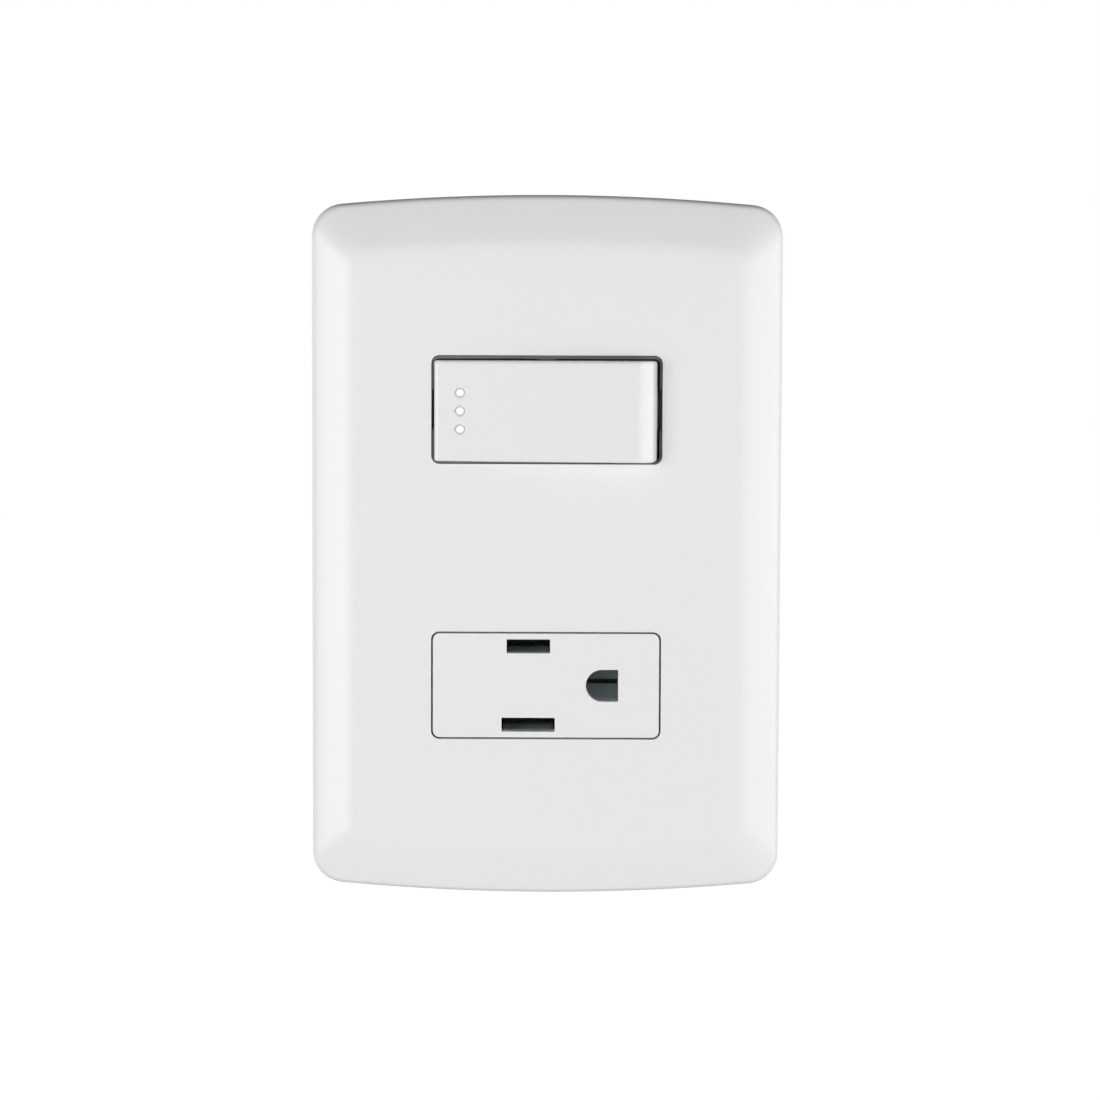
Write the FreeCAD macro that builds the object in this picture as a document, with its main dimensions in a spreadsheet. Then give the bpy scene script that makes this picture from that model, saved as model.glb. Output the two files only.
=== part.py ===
import FreeCAD, Part
import math
import os
import Sketcher
from collections import namedtuple
from types import SimpleNamespace

# A wall plate with a rocker switch above, a blind place in the middle and a socket below.
# X runs to the right, Y runs into the wall, Z runs up, and all lengths are in millimetres.
# The origin is on the wall plane, halfway between the two box screws.

Vector = FreeCAD.Vector

SIZES = {
    # The wall plate, a shallow moulded cover with arched ends and a soft crown round its front
    "plate_side_margin": 10.8,
    "plate_end_margin": 6.5,
    "plate_over_pivot": 4.1,
    "plate_corner": 5.2,
    "plate_arch_radius": 363.0,
    "plate_side_wall": 2.0,
    "plate_front_wall": 2.2,
    "plate_shoulder": 0.7,
    "plate_deep_margin": 1.1,
    "crown_side_width": 6.2,
    "crown_end_width": 7.8,
    "crown_side_bulge": 0.45,
    "crown_end_bulge": 0.12,
    "crown_drop": 3.0,
    "crown_shoulder": 0.25,
    "crown_corner": 2.6,
    "dome_side_width": 12.0,
    "dome_end_width": 16.0,
    "window_gap": 0.1,
    "window_corner": 1.3,
    "plate_rib_margin": 4.0,
    "plate_rib_wall": 1.2,
    "plate_rib_end": 14.5,
    "plate_rib_depth": 4.0,
    "pry_notch_width": 8.0,
    "pry_notch_reach": 6.0,
    "pry_notch_depth": 1.4,
    # The snap hooks of the plate, and the slots of the frame that take them
    "hook_margin": 3.0,
    "hook_room": 0.9,
    "hook_wall": 1.3,
    "hook_width": 5.0,
    "hook_barb": 0.6,
    "hook_barb_length": 1.2,
    "hook_slack": 0.1,
    "hook_slot_play": 0.5,
    # The support frame
    "frame_side_margin": 5.0,
    "frame_end_margin": 8.25,
    "frame_panel": 1.8,
    "frame_skirt": 1.5,
    "frame_corner": 4.0,
    "frame_play": 0.2,
    "ear_margin": 8.75,
    "box_slot_radius": 2.1,
    "box_slot_length": 6.5,
    "box_head_radius": 4.5,
    "ear_width": 16.0,
    "ear_floor": 1.8,
    "tooth_play": 0.1,
    "frame_tooth_reach": 1.5,
    "frame_rib_wall": 1.2,
    "frame_rib_margin": 3.75,
    # The format that both modules share
    "module_gap": 1.0,
    "module_end_shoulder": 1.5,
    "module_side_shoulder": 1.9,
    "module_corner": 0.8,
    "flange_end_reach": 2.0,
    "flange_side_reach": 0.3,
    "flange_wall": 1.9,
    "flange_corner": 1.0,
    "flange_gap": 0.2,
    "tray_rear": 1.7,
    "module_rear": 14.6,
    "module_wall": 1.4,
    "module_rear_wall": 1.6,
    "lug_reach": 0.7,
    "lug_length": 1.0,
    "lug_width": 4.0,
    # The rocker key and the collar that carries it
    "pivot_rise": 2.0,
    "key_tilt": 5.5,
    "key_face": 6.0,
    "key_wall": 1.3,
    "key_end_round": 2.4,
    "key_edge_round": 0.6,
    "key_skirt": 0.1,
    "key_ear_width": 5.0,
    "key_ear_reach": 1.6,
    "key_ear_round": 1.2,
    "trunnion_radius": 1.2,
    "trunnion_play": 0.05,
    "trunnion_end_gap": 0.4,
    "dot_margin": 4.2,
    "dot_spacing": 2.93,
    "dot_hole_radius": 0.7,
    "dot_dish_radius": 0.92,
    "dot_dish_depth": 0.25,
    "key_drop": 0.1,
    "collar_end_wall": 0.32,
    "collar_side_wall": 0.35,
    "collar_rim_sink": 0.4,
    "collar_rim_corner": 1.2,
    "collar_end_gap": 0.48,
    "collar_side_gap": 0.15,
    "collar_drop": 0.1,
    "collar_inner_corner": 0.8,
    "collar_floor": 1.2,
    "collar_aperture": 10.0,
    "collar_notch_width": 6.4,
    "collar_notch_depth": 1.8,
    "collar_boss_width": 8.0,
    "collar_boss_rise": 0.25,
    "collar_tab_width": 2.8,
    "collar_tab_depth": 2.6,
    "collar_tab_play": 0.1,
    # The light strip under the key
    "glow_width": 2.2,
    "glow_height": 8.8,
    "glow_wall": 0.8,
    "glow_corner": 0.4,
    "glow_pin_radius": 0.6,
    "glow_pin_rise": 0.15,
    # The sprung plunger
    "carrier_width": 11.0,
    "carrier_depth": 3.5,
    "carrier_play": 0.05,
    "carrier_tube_radius": 2.6,
    "carrier_tube_reach": 6.5,
    "plunger_radius": 1.65,
    "plunger_play": 0.1,
    "plunger_start": 3.9,
    "plunger_tip_length": 2.05,
    "plunger_tip_gap": 0.45,
    "plunger_tip_radius": 1.0,
    "bore_end_wall": 1.0,
    "spring_wire": 0.2,
    "spring_play": 0.25,
    "spring_turns": 6.0,
    # The switching contacts
    "axis_rear": 6.6,
    "lever_tilt": 7.0,
    "lever_centre_front": 1.4,
    "lever_centre_reach": 2.2,
    "lever_shoulder": 4.6,
    "lever_arm_front": 0.9,
    "lever_arm_wall": 0.9,
    "lever_end": 1.6,
    "lever_width": 6.0,
    "lever_leg": 1.6,
    "lever_pivot_play": 0.06,
    "rivet_place": 6.4,
    "rivet_radius": 1.5,
    "rivet_edge": 0.5,
    "rivet_dome": 0.3,
    "rivet_shank": 0.75,
    "rivet_play": 0.02,
    "contact_gap": 0.1,
    # The strips that carry the current
    "strip_wall": 1.2,
    "strip_width": 4.0,
    "pad_width": 6.0,
    "pad_out": 2.6,
    "pad_gap": 0.2,
    "pad_hole_play": 0.05,
    "shelf_overlap": 1.8,
    "shelf_overhang": 3.0,
    "shelf_room": 3.0,
    # The housing of the switch
    "partition": 1.0,
    "channel_play": 0.1,
    "stop_margin": 0.8,
    "stop_length": 1.6,
    "stop_wall": 1.2,
    "stop_gap": 0.1,
    "entry_width": 2.1,
    "entry_height": 2.6,
    "entry_offset": 2.6,
    # The terminal screws and clamps
    "screw_rear": 6.0,
    "screw_shank_radius": 1.7,
    "screw_head_radius": 3.1,
    "screw_head_length": 1.8,
    "screw_recess": 0.1,
    "screw_tip_reach": 0.1,
    "screw_slot_width": 0.9,
    "screw_slot_depth": 0.9,
    "screw_head_round": 0.4,
    "clamp_size": 6.8,
    "clamp_wall": 1.0,
    "clamp_corner": 0.5,
    "wire_space": 2.3,
    "clamp_room": 0.6,
    "clamp_front_room": 1.1,
    "clamp_hole_play": 0.1,
    "clamp_lip": 0.6,
    # The face of the socket
    "socket_window_gap": 0.25,
    "socket_face_corner": 1.1,
    "socket_face_wall": 2.4,
    "socket_ledge": 1.0,
    "socket_shell_wall": 1.3,
    "blade_spacing": 12.7,
    "slot_margin": 2.1,
    "blade_place": 2.85,
    "slot_height": 2.25,
    "line_slot_width": 7.0,
    "neutral_slot_width": 8.6,
    "ground_place": 9.0,
    "ground_hole_radius": 2.58,
    "ground_hole_flat": 2.64,
    # The body of the socket and its contacts
    "socket_core_play": 0.2,
    "socket_cavity_play": 0.2,
    "leaf_room": 0.3,
    "blade_chamber_play": 0.3,
    "ground_room": 0.7,
    "contact_rear": 10.0,
    "contact_wall": 1.0,
    "leaf_wall": 0.55,
    "leaf_base_half": 1.6,
    "leaf_knee": 4.0,
    "leaf_throat_length": 2.1,
    "leaf_throat_half": 0.6,
    "leaf_lip_sink": 1.1,
    "leaf_lip_half": 1.25,
    "contact_play": 0.4,
    "ground_lip_sink": 1.7,
    "ground_lip_half": 2.5,
    "ground_throat_length": 2.3,
    "ground_throat_half": 0.35,
    "ground_base_half": 3.1,
    "ground_contact_width": 5.6,
    "terminal_wall": 1.3,
    "clamp_rear_room": 1.6,
}

CROWN_STEPS = 4
DOT_COUNT = 3
SPRING_POINTS_PER_TURN = 10

# A length or volume below this counts as nothing, and edges are told apart to this closeness
TINY = 1e-6
EDGE_CLOSENESS = 1e-3


class Size:
    """A number together with the sheet expression that gives it."""

    def __init__(self, value, text=None):
        self.value = float(value)
        self.text = text or f"({float(value)!r})"

    def __add__(self, other):
        other = as_size(other)
        return Size(self.value + other.value, f"({self.text} + {other.text})")

    def __radd__(self, other):
        return as_size(other) + self

    def __sub__(self, other):
        other = as_size(other)
        return Size(self.value - other.value, f"({self.text} - {other.text})")

    def __rsub__(self, other):
        return as_size(other) - self

    def __mul__(self, other):
        other = as_size(other)
        return Size(self.value * other.value, f"({self.text} * {other.text})")

    def __rmul__(self, other):
        return as_size(other) * self

    def __truediv__(self, other):
        other = as_size(other)
        return Size(self.value / other.value, f"({self.text} / {other.text})")

    def __rtruediv__(self, other):
        return as_size(other) / self

    def __neg__(self):
        return Size(-self.value, f"(0 - {self.text})")


def as_size(number):
    return number if isinstance(number, Size) else Size(number)


def root(size):
    return Size(math.sqrt(size.value), f"sqrt({size.text})")


def sine(angle):
    return Size(math.sin(math.radians(angle.value)), f"sin({angle.text})")


def cosine(angle):
    return Size(math.cos(math.radians(angle.value)), f"cos({angle.text})")


document = FreeCAD.newDocument("switch_and_socket")
sheet = document.addObject("Spreadsheet::Sheet", "Dims")
for row, (word, number) in enumerate(SIZES.items(), 1):
    sheet.set(f"A{row}", word)
    sheet.set(f"B{row}", str(number))
    sheet.setAlias(f"B{row}", word)
document.recompute()
d = SimpleNamespace(**{word: Size(getattr(sheet, word), f"Dims.{word}") for word in SIZES})


# Outlines: a loop is a list of corners, and a corner may be rounded or be followed by an arc

Arc = namedtuple("Arc", "radius turn")
Ring = namedtuple("Ring", "across up radius")
Rounded = namedtuple("Rounded", "across up radius")
Edge = namedtuple("Edge", "start end arc")
LEFT = 1
RIGHT = -1


def rectangle(left, right, low, high, corner=None):
    corners = [(left, low), (right, low), (right, high), (left, high)]
    if corner is None:
        return corners
    return [Rounded(across, up, corner) for across, up in corners]


def centred(width, height, corner=None, across=0, up=0):
    return rectangle(across - width / 2, across + width / 2, up - height / 2, up + height / 2, corner)


def sign(number):
    return (number > TINY) - (number < -TINY)


def toward(start, end, distance):
    """The point at a distance from one corner toward the next, along a straight run in one axis."""
    step_across = sign(end[0].value - start[0].value)
    step_up = sign(end[1].value - start[1].value)
    return start[0] + distance * step_across, start[1] + distance * step_up


def edges_of(loop):
    """Turn a loop of corners and arcs into edges from point to point."""
    corners = [item for item in loop if not isinstance(item, Arc)]
    places = [(as_size(item[0]), as_size(item[1])) for item in corners]
    arcs = {}
    count = -1
    for item in loop:
        if isinstance(item, Arc):
            arcs[count] = item
        else:
            count += 1
    edges = []
    for number, item in enumerate(corners):
        here = places[number]
        before = places[number - 1]
        after = places[(number + 1) % len(places)]
        start, end = here, here
        if isinstance(item, Rounded):
            radius = as_size(item.radius)
            start = toward(here, before, radius)
            end = toward(here, after, radius)
            across = (here[0].value - before[0].value) * (after[1].value - here[1].value)
            up = (here[1].value - before[1].value) * (after[0].value - here[0].value)
            edges.append(Edge(start, end, Arc(radius, sign(across - up))))
        edges.append(Edge(end, None, arcs.get(number)))
    closed = []
    for number, edge in enumerate(edges):
        end = edge.end or edges[(number + 1) % len(edges)].start
        if distance_between(edge.start, end) > TINY:
            closed.append(Edge(edge.start, end, edge.arc))
    return closed


def distance_between(start, end):
    return math.hypot(end[0].value - start[0].value, end[1].value - start[1].value)


def plain(point):
    return Vector(point[0].value, point[1].value, 0)


def arc_geometry(edge):
    """An arc from its two ends, its radius and the side that it turns to."""
    radius = as_size(edge.arc.radius).value
    start, end = plain(edge.start), plain(edge.end)
    chord = end - start
    rise = math.sqrt(max(radius ** 2 - (chord.Length / 2) ** 2, 0))
    sideways = Vector(-chord.y, chord.x, 0).normalize() * edge.arc.turn
    centre = (start + end) / 2 + sideways * rise
    first, last = (start, end) if edge.arc.turn == LEFT else (end, start)
    angles = [math.atan2(point.y - centre.y, point.x - centre.x) for point in (first, last)]
    return Part.ArcOfCircle(Part.Circle(centre, Vector(0, 0, 1), radius), *angles)


def loop_dimensions(sketch, loop):
    """Add a loop's geometry to a sketch; give its joins and its dimensions."""
    if isinstance(loop, Ring):
        centre = plain((as_size(loop.across), as_size(loop.up)))
        circle = Part.Circle(centre, Vector(0, 0, 1), as_size(loop.radius).value)
        number = sketch.addGeometry(circle, False)
        return [], [
            ("DistanceX", (-1, 1, number, 3), loop.across),
            ("DistanceY", (-1, 1, number, 3), loop.up),
            ("Radius", (number,), loop.radius),
        ]
    ends = []
    dimensions = []
    for edge in edges_of(loop):
        if edge.arc:
            number = sketch.addGeometry(arc_geometry(edge), False)
            first, last = (1, 2) if edge.arc.turn == LEFT else (2, 1)
            dimensions.append(("Radius", (number,), edge.arc.radius))
        else:
            number = sketch.addGeometry(Part.LineSegment(plain(edge.start), plain(edge.end)), False)
            first, last = 1, 2
        ends.append((number, first, last))
        dimensions.append(("DistanceX", (-1, 1, number, first), edge.start[0]))
        dimensions.append(("DistanceY", (-1, 1, number, first), edge.start[1]))
    joins = []
    for place, (number, _, last) in enumerate(ends):
        following, first, _ = ends[(place + 1) % len(ends)]
        joins.append((number, last, following, first))
    return joins, dimensions


def draw(sketch, loops):
    """Draw closed loops in a sketch and tie every dimension to the sheet."""
    joins = []
    dimensions = []
    for loop in loops:
        more_joins, more_dimensions = loop_dimensions(sketch, loop)
        joins += more_joins
        dimensions += more_dimensions
    constraints = [Sketcher.Constraint("Coincident", *join) for join in joins]
    for kind, places, size in dimensions:
        constraints.append(Sketcher.Constraint(kind, *places, as_size(size).value))
    sketch.addConstraint(constraints)
    for number, (_, _, size) in enumerate(dimensions, len(joins)):
        if "Dims." in as_size(size).text:
            sketch.setExpression(f"Constraints[{number}]", size.text)


# Features: each is raised from one of the body's three origin planes

PLANES = {"front": ("XZ_Plane", -1), "side": ("YZ_Plane", 1), "top": ("XY_Plane", 1)}


def bind_length(feature, name, size):
    setattr(feature, name, size.value)
    if "Dims." in size.text:
        feature.setExpression(name, size.text)


def new_body(name):
    body = document.addObject("PartDesign::Body", name)
    body.Label = name
    return body


def new_sketch(body, name, plane, place, loops):
    """A sketch on an origin plane, moved to a place on the axis across that plane."""
    role, direction = PLANES[plane]
    sketch = body.newObject("Sketcher::SketchObject", name)
    support = [feature for feature in body.Origin.OriginFeatures if feature.Role == role][0]
    sketch.AttachmentSupport = (support, [""])
    sketch.MapMode = "FlatFace"
    offset = as_size(place) * direction
    sketch.AttachmentOffset = FreeCAD.Placement(Vector(0, 0, offset.value), FreeCAD.Rotation())
    if "Dims." in offset.text:
        sketch.setExpression("AttachmentOffset.Base.z", offset.text)
    draw(sketch, loops)
    return sketch


def extrude(kind, body, name, plane, start, end, loops):
    """Pad or pocket loops from one place to another on the axis across their plane."""
    start, end = as_size(start), as_size(end)
    sketch = new_sketch(body, f"{name}_outline", plane, start, loops)
    feature = body.newObject(f"PartDesign::{kind}", name)
    feature.Profile = sketch
    rising = end.value > start.value
    bind_length(feature, "Length", end - start if rising else start - end)
    along_normal = rising == (PLANES[plane][1] > 0)
    feature.Reversed = along_normal if kind == "Pocket" else not along_normal
    return feature


def pad(body, name, plane, start, end, *loops):
    return extrude("Pad", body, name, plane, start, end, loops)


def pocket(body, name, plane, start, end, *loops):
    return extrude("Pocket", body, name, plane, start, end, loops)


def turned(body, name, loop):
    """A solid of revolution about the body's own X axis, from a half outline in X and Y."""
    sketch = new_sketch(body, f"{name}_outline", "top", 0, [loop])
    feature = body.newObject("PartDesign::Revolution", name)
    feature.Profile = sketch
    feature.ReferenceAxis = (sketch, ["H_Axis"])
    return feature


def rounded_edges(body, name, radius, chosen):
    """Fillet the edges of the body that a test picks by their bounding box."""
    document.recompute()
    base = body.Tip
    names = [f"Edge{number}" for number, edge in enumerate(base.Shape.Edges, 1) if chosen(edge.BoundBox)]
    feature = body.newObject("PartDesign::Fillet", name)
    feature.Base = (base, names)
    bind_length(feature, "Radius", radius)
    return feature


def place(body, across=0, rear=0, up=0, turn=None):
    """Set a body down at a point, turned about the upright axis."""
    words = [as_size(number).text for number in (across, rear, up)]
    angle = as_size(turn or 0)
    body.setExpression("Placement", "placement(vector({}; {}; {}); rotation(vector(0; 0; 1); {}))"
                       .format(*words, angle.text))


# Sizes that follow from the driving ones. Across: from the contacts outward to the plate

lever_reach = d.rivet_place + d.lever_end
shelf_inner = d.rivet_place - d.shelf_overlap
shelf_outer = d.rivet_place + d.shelf_overhang
chamber_half = shelf_outer + d.shelf_room
partition_outer = chamber_half + d.partition
pad_inner = partition_outer + d.pad_gap
pad_outer = pad_inner + d.strip_wall
screw_head_inner = pad_outer + d.wire_space + d.clamp_wall
screw_head_end = screw_head_inner + d.screw_head_length
screw_tip = pad_inner - d.screw_tip_reach
stop_outer = lever_reach - d.stop_margin
stop_inner = stop_outer - d.stop_length
module_width = (screw_head_end + d.screw_recess) * 2
flange_width = module_width + d.flange_end_reach * 2
frame_width = flange_width + d.frame_side_margin * 2
plate_width = frame_width + d.plate_side_margin * 2
plate_rib_place = frame_width / 2 + d.plate_rib_margin
hook_inner = flange_width / 2 + d.hook_room
window_width = module_width - d.module_end_shoulder * 2
collar_rim_width = window_width - d.window_gap * 2
collar_inner_width = collar_rim_width - d.collar_end_wall * 2
key_length = collar_inner_width - d.collar_end_gap * 2
dot_place = key_length / 2 - d.dot_margin

# Up: from the blades of the plug outward to the plate

line_up = d.blade_spacing / 2
socket_face_height = d.blade_spacing + d.slot_margin * 2
window_height = socket_face_height + d.socket_window_gap * 2
module_height = window_height + d.module_side_shoulder * 2
flange_height = module_height + d.flange_side_reach * 2
module_pitch = module_height + d.module_gap
frame_tooth = d.module_gap - d.tooth_play * 2
open_width = module_width + d.frame_play * 2
open_height = module_pitch * 2 + module_height + d.frame_play * 2
hook_place = open_height / 2 - d.hook_margin
box_screw_spacing = open_height + d.ear_margin * 2
frame_height = box_screw_spacing + d.frame_end_margin * 2
plate_height = frame_height + d.plate_end_margin * 2
plate_rib_length = plate_height - d.plate_rib_end * 2
collar_rim_height = window_height - d.window_gap * 2
collar_inner_height = collar_rim_height - d.collar_side_wall * 2
key_height = collar_inner_height - d.collar_side_gap * 2
well_up = module_pitch - d.collar_drop
rocker_up = well_up - d.key_drop
trunnion_end = module_height / 2 - d.trunnion_end_gap
pocket_half = d.clamp_size / 2 + d.clamp_room
terminal_offset = module_height / 2 - d.terminal_wall - pocket_half

# Out from the wall: from the module's tray to the front of the plate

collar_floor_front = d.tray_rear + d.collar_floor
pivot_out = collar_floor_front + d.pivot_rise
plate_depth = pivot_out + d.plate_over_pivot
flange_front = plate_depth - d.plate_front_wall - d.flange_gap
frame_front = flange_front - d.flange_wall
frame_panel_rear = frame_front - d.frame_panel
collar_rim_front = plate_depth - d.collar_rim_sink
collar_notch_out = collar_rim_front - d.collar_notch_depth
key_inner_face = d.key_face - d.key_wall

# Into the wall: the switch's plunger, strips and terminals

plunger_reach = pivot_out + d.axis_rear - d.lever_centre_front - d.plunger_tip_gap
plunger_shoulder = plunger_reach - d.plunger_tip_length
bore_front = key_inner_face - d.bore_end_wall
bore_radius = d.plunger_radius + d.plunger_play
spring_radius = bore_radius - d.spring_wire - d.spring_play
chamber_rear = d.module_rear - d.module_rear_wall
strip_front = chamber_rear - d.strip_wall
post_half = d.strip_wall / 2
pocket_front = d.screw_rear - d.clamp_size / 2 - d.clamp_front_room
pocket_rear = d.screw_rear + d.clamp_size / 2 + d.clamp_rear_room
pad_hole_radius = d.screw_shank_radius + d.pad_hole_play
clamp_hole_radius = d.screw_shank_radius + d.clamp_hole_play
rivet_ball = (d.rivet_radius * d.rivet_radius + d.rivet_dome * d.rivet_dome) / (d.rivet_dome * 2)

# The socket's shell, and the contacts in it

socket_cavity_width = module_width - d.socket_shell_wall * 2 - d.socket_cavity_play
socket_cavity_height = module_height - d.socket_shell_wall * 2
socket_cavity_front = flange_front - d.socket_ledge
socket_face_width = window_width - d.socket_window_gap * 2
socket_well_width = socket_face_width - d.socket_shell_wall * 2
socket_well_height = socket_face_height - d.socket_shell_wall * 2
socket_well_front = plate_depth - d.socket_face_wall
socket_nose_front = socket_well_front - d.socket_core_play
blade_chamber_half = d.leaf_lip_half + d.leaf_wall + d.leaf_room
ground_chamber_half = d.ground_base_half + d.ground_room
leaf_lip_out = socket_nose_front - d.leaf_lip_sink
leaf_throat_out = leaf_lip_out - d.leaf_throat_length
ground_lip_out = socket_nose_front - d.ground_lip_sink
ground_throat_out = ground_lip_out - d.ground_throat_length


# The wall plate


def arched_outline(side_inset, end_inset, corner):
    """The plate's outline, with its arched ends tangent to the corner arcs."""
    half_width = plate_width / 2 - side_inset
    half_height = plate_height / 2 - end_inset
    arch = d.plate_arch_radius - end_inset
    corner_across = half_width - corner
    arch_centre = half_height - arch
    from_centre = root((arch - corner) * (arch - corner) - corner_across * corner_across)
    reach = arch / (arch - corner)
    corner_up = arch_centre + from_centre
    joint_across = corner_across * reach
    joint_up = arch_centre + from_centre * reach
    return [
        (half_width, -corner_up),
        (half_width, corner_up), Arc(corner, LEFT),
        (joint_across, joint_up), Arc(arch, LEFT),
        (-joint_across, joint_up), Arc(corner, LEFT),
        (-half_width, corner_up),
        (-half_width, -corner_up), Arc(corner, LEFT),
        (-joint_across, -joint_up), Arc(arch, LEFT),
        (joint_across, -joint_up), Arc(corner, LEFT),
    ]


def crown_reach(width, bulge, level):
    """How far in the crown has come at a level, which is 1 at the side wall and 0 at the shoulder."""
    straight = 1 - bulge
    left = (root(straight * straight + bulge * 4 * level) - straight) / (bulge * 2)
    return width * (1 - left)


def crown_section(body, step):
    """One outline of the crown, from the side wall to the shoulder where the front's low dome starts."""
    level = 1 - step / CROWN_STEPS
    side_inset = crown_reach(d.crown_side_width, d.crown_side_bulge, level)
    end_inset = crown_reach(d.crown_end_width, d.crown_end_bulge, level)
    drop = d.crown_shoulder + (d.crown_drop - d.crown_shoulder) * level
    corner = d.plate_corner * level + d.crown_corner * (1 - level)
    outline = arched_outline(side_inset, end_inset, corner)
    return new_sketch(body, f"crown_section_{step}", "front", drop - plate_depth, [outline])


def wall_plate():
    body = new_body("wall_plate")
    wall_front = d.crown_drop - plate_depth
    inner_face = d.plate_front_wall - plate_depth
    pad(body, "side_wall", "front", 0, wall_front, arched_outline(0, 0, d.plate_corner))
    sections = [crown_section(body, step) for step in range(CROWN_STEPS + 1)]
    flat = arched_outline(d.dome_side_width, d.dome_end_width, d.crown_corner)
    sections.append(new_sketch(body, "flat_section", "front", -plate_depth, [flat]))
    crown = body.newObject("PartDesign::AdditiveLoft", "crown")
    crown.Profile = sections[0]
    crown.Sections = sections[1:]
    crown.Ruled = True
    shell_corner = d.plate_corner - d.plate_side_wall
    shell = arched_outline(d.plate_side_wall, d.plate_side_wall, shell_corner)
    pocket(body, "hollow", "front", 0, wall_front + d.plate_shoulder, shell)
    deep_side = d.crown_side_width - d.plate_deep_margin
    deep = arched_outline(deep_side, deep_side, d.crown_corner)
    pocket(body, "deep_hollow", "front", 0, inner_face, deep)
    for name, up in (("switch_window", module_pitch), ("socket_window", -module_pitch)):
        window = centred(window_width, window_height, d.window_corner, up=up)
        pocket(body, name, "front", 0, -plate_depth, window)
    for side, name in ((-1, "left"), (1, "right")):
        rib = centred(d.plate_rib_wall, plate_rib_length, across=plate_rib_place * side)
        pad(body, f"{name}_rib", "front", inner_face, inner_face + d.plate_rib_depth, rib)
        for end, height in ((-1, "low"), (1, "high")):
            snap_hook(body, f"{name}_{height}_hook", side, hook_place * end)
    notch = centred(d.pry_notch_width, d.pry_notch_reach * 2, up=-plate_height / 2)
    pocket(body, "pry_notch", "front", 0, -d.pry_notch_depth, notch)
    return body


def snap_hook(body, name, side, up):
    """A leg with a barb that catches behind the panel of the frame."""
    inner_face = d.plate_front_wall - plate_depth
    barb_start = d.hook_slack - frame_panel_rear
    barb_end = barb_start + d.hook_barb_length
    outer = hook_inner + d.hook_wall
    low, high = up - d.hook_width / 2, up + d.hook_width / 2
    profile = [
        (hook_inner * side, inner_face),
        (outer * side, inner_face),
        (outer * side, barb_start),
        ((outer + d.hook_barb) * side, barb_start),
        (outer * side, barb_end),
        (hook_inner * side, barb_end),
    ]
    pad(body, name, "top", low, high, profile)


# The support frame


def support_frame():
    body = new_body("support_frame")
    outline = centred(frame_width, frame_height, d.frame_corner)
    pad(body, "panel", "front", 0, -frame_front, outline)
    inner = centred(frame_width - d.frame_skirt * 2, frame_height - d.frame_skirt * 2,
                    d.frame_corner - d.frame_skirt)
    pocket(body, "skirt", "front", 0, -frame_panel_rear, inner)
    pocket(body, "module_opening", "front", 0, -frame_front, centred(open_width, open_height))
    for side, name in ((-1, "left"), (1, "right")):
        for end, height in ((-1, "low"), (1, "high")):
            edge = open_width / 2 * side
            tip = (open_width / 2 - d.frame_tooth_reach) * side
            up = module_pitch / 2 * end
            left, right = (tip, edge) if side > 0 else (edge, tip)
            tooth = rectangle(left, right, up - frame_tooth / 2, up + frame_tooth / 2)
            pad(body, f"{name}_{height}_tooth", "front", -frame_panel_rear, -frame_front, tooth)
            hook_slot(body, f"{name}_{height}_hook_slot", side, hook_place * end)
        rib_place = (frame_width / 2 - d.frame_rib_margin) * side
        rib = centred(d.frame_rib_wall, module_height, across=rib_place)
        pad(body, f"{name}_rib", "front", -frame_panel_rear, 0, rib)
    for end, name in ((-1, "low"), (1, "high")):
        ear(body, name, box_screw_spacing / 2 * end)
    return body


def hook_slot(body, name, side, up):
    near = hook_inner - d.hook_slot_play
    far = hook_inner + d.hook_wall + d.hook_slot_play / 2
    left, right = (near, far) if side > 0 else (-far, -near)
    half = (d.hook_width + d.hook_slot_play * 2) / 2
    slot = rectangle(left, right, up - half, up + half)
    pocket(body, name, "front", -frame_panel_rear, -frame_front, slot)


def ear(body, name, up):
    """A seat for one box screw: a floor on the wall, a recess for the head and a slot."""
    seat = centred(d.ear_width, d.box_slot_length + d.box_head_radius, d.frame_skirt, up=up)
    pad(body, f"{name}_ear", "front", -frame_panel_rear, 0, seat)
    head_length = d.box_slot_length + (d.box_head_radius - d.box_slot_radius) * 2
    recess = centred(d.box_head_radius * 2, head_length, d.box_head_radius, up=up)
    pocket(body, f"{name}_recess", "front", -frame_front, -d.ear_floor, recess)
    slot = centred(d.box_slot_radius * 2, d.box_slot_length, d.box_slot_radius, up=up)
    pocket(body, f"{name}_screw_slot", "front", 0, -d.ear_floor, slot)


# What both modules share


def module_front(body, up):
    """The flange that rests on the frame, the tray that fills its opening, and the snap lugs."""
    flange = centred(flange_width, flange_height, d.flange_corner, up=up)
    pad(body, "flange", "front", -frame_front, -flange_front, flange)
    tray = centred(module_width, module_height, d.module_corner, up=up)
    pad(body, "tray", "front", -d.tray_rear, -frame_front, tray)
    for side, name in ((-1, "left"), (1, "right")):
        edge = module_width / 2 * side
        tip = (module_width / 2 + d.lug_reach) * side
        catch = d.hook_slack - frame_panel_rear
        lug = [(edge, catch), (tip, catch), (edge, catch + d.lug_length)]
        pad(body, f"{name}_lug", "top", up - d.lug_width / 2, up + d.lug_width / 2, lug)


def terminal_pocket(body, name, side, up, inner, rear):
    """A recess open to the module's end, with wire entries through the rear wall."""
    left, right = (inner, module_width / 2) if side > 0 else (-module_width / 2, -inner)
    recess = rectangle(left, right, up - pocket_half, up + pocket_half)
    pocket(body, f"{name}_pocket", "front", rear, pocket_front, recess)
    middle = (pad_outer + screw_head_inner - d.clamp_wall) / 2 * side
    for end, level in ((-1, "low"), (1, "high")):
        entry = centred(d.entry_width, d.entry_height, across=middle, up=up + d.entry_offset * end)
        pocket(body, f"{name}_{level}_entry", "front", d.module_rear, rear, entry)


# The rocker switch, from the front to the rear


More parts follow.
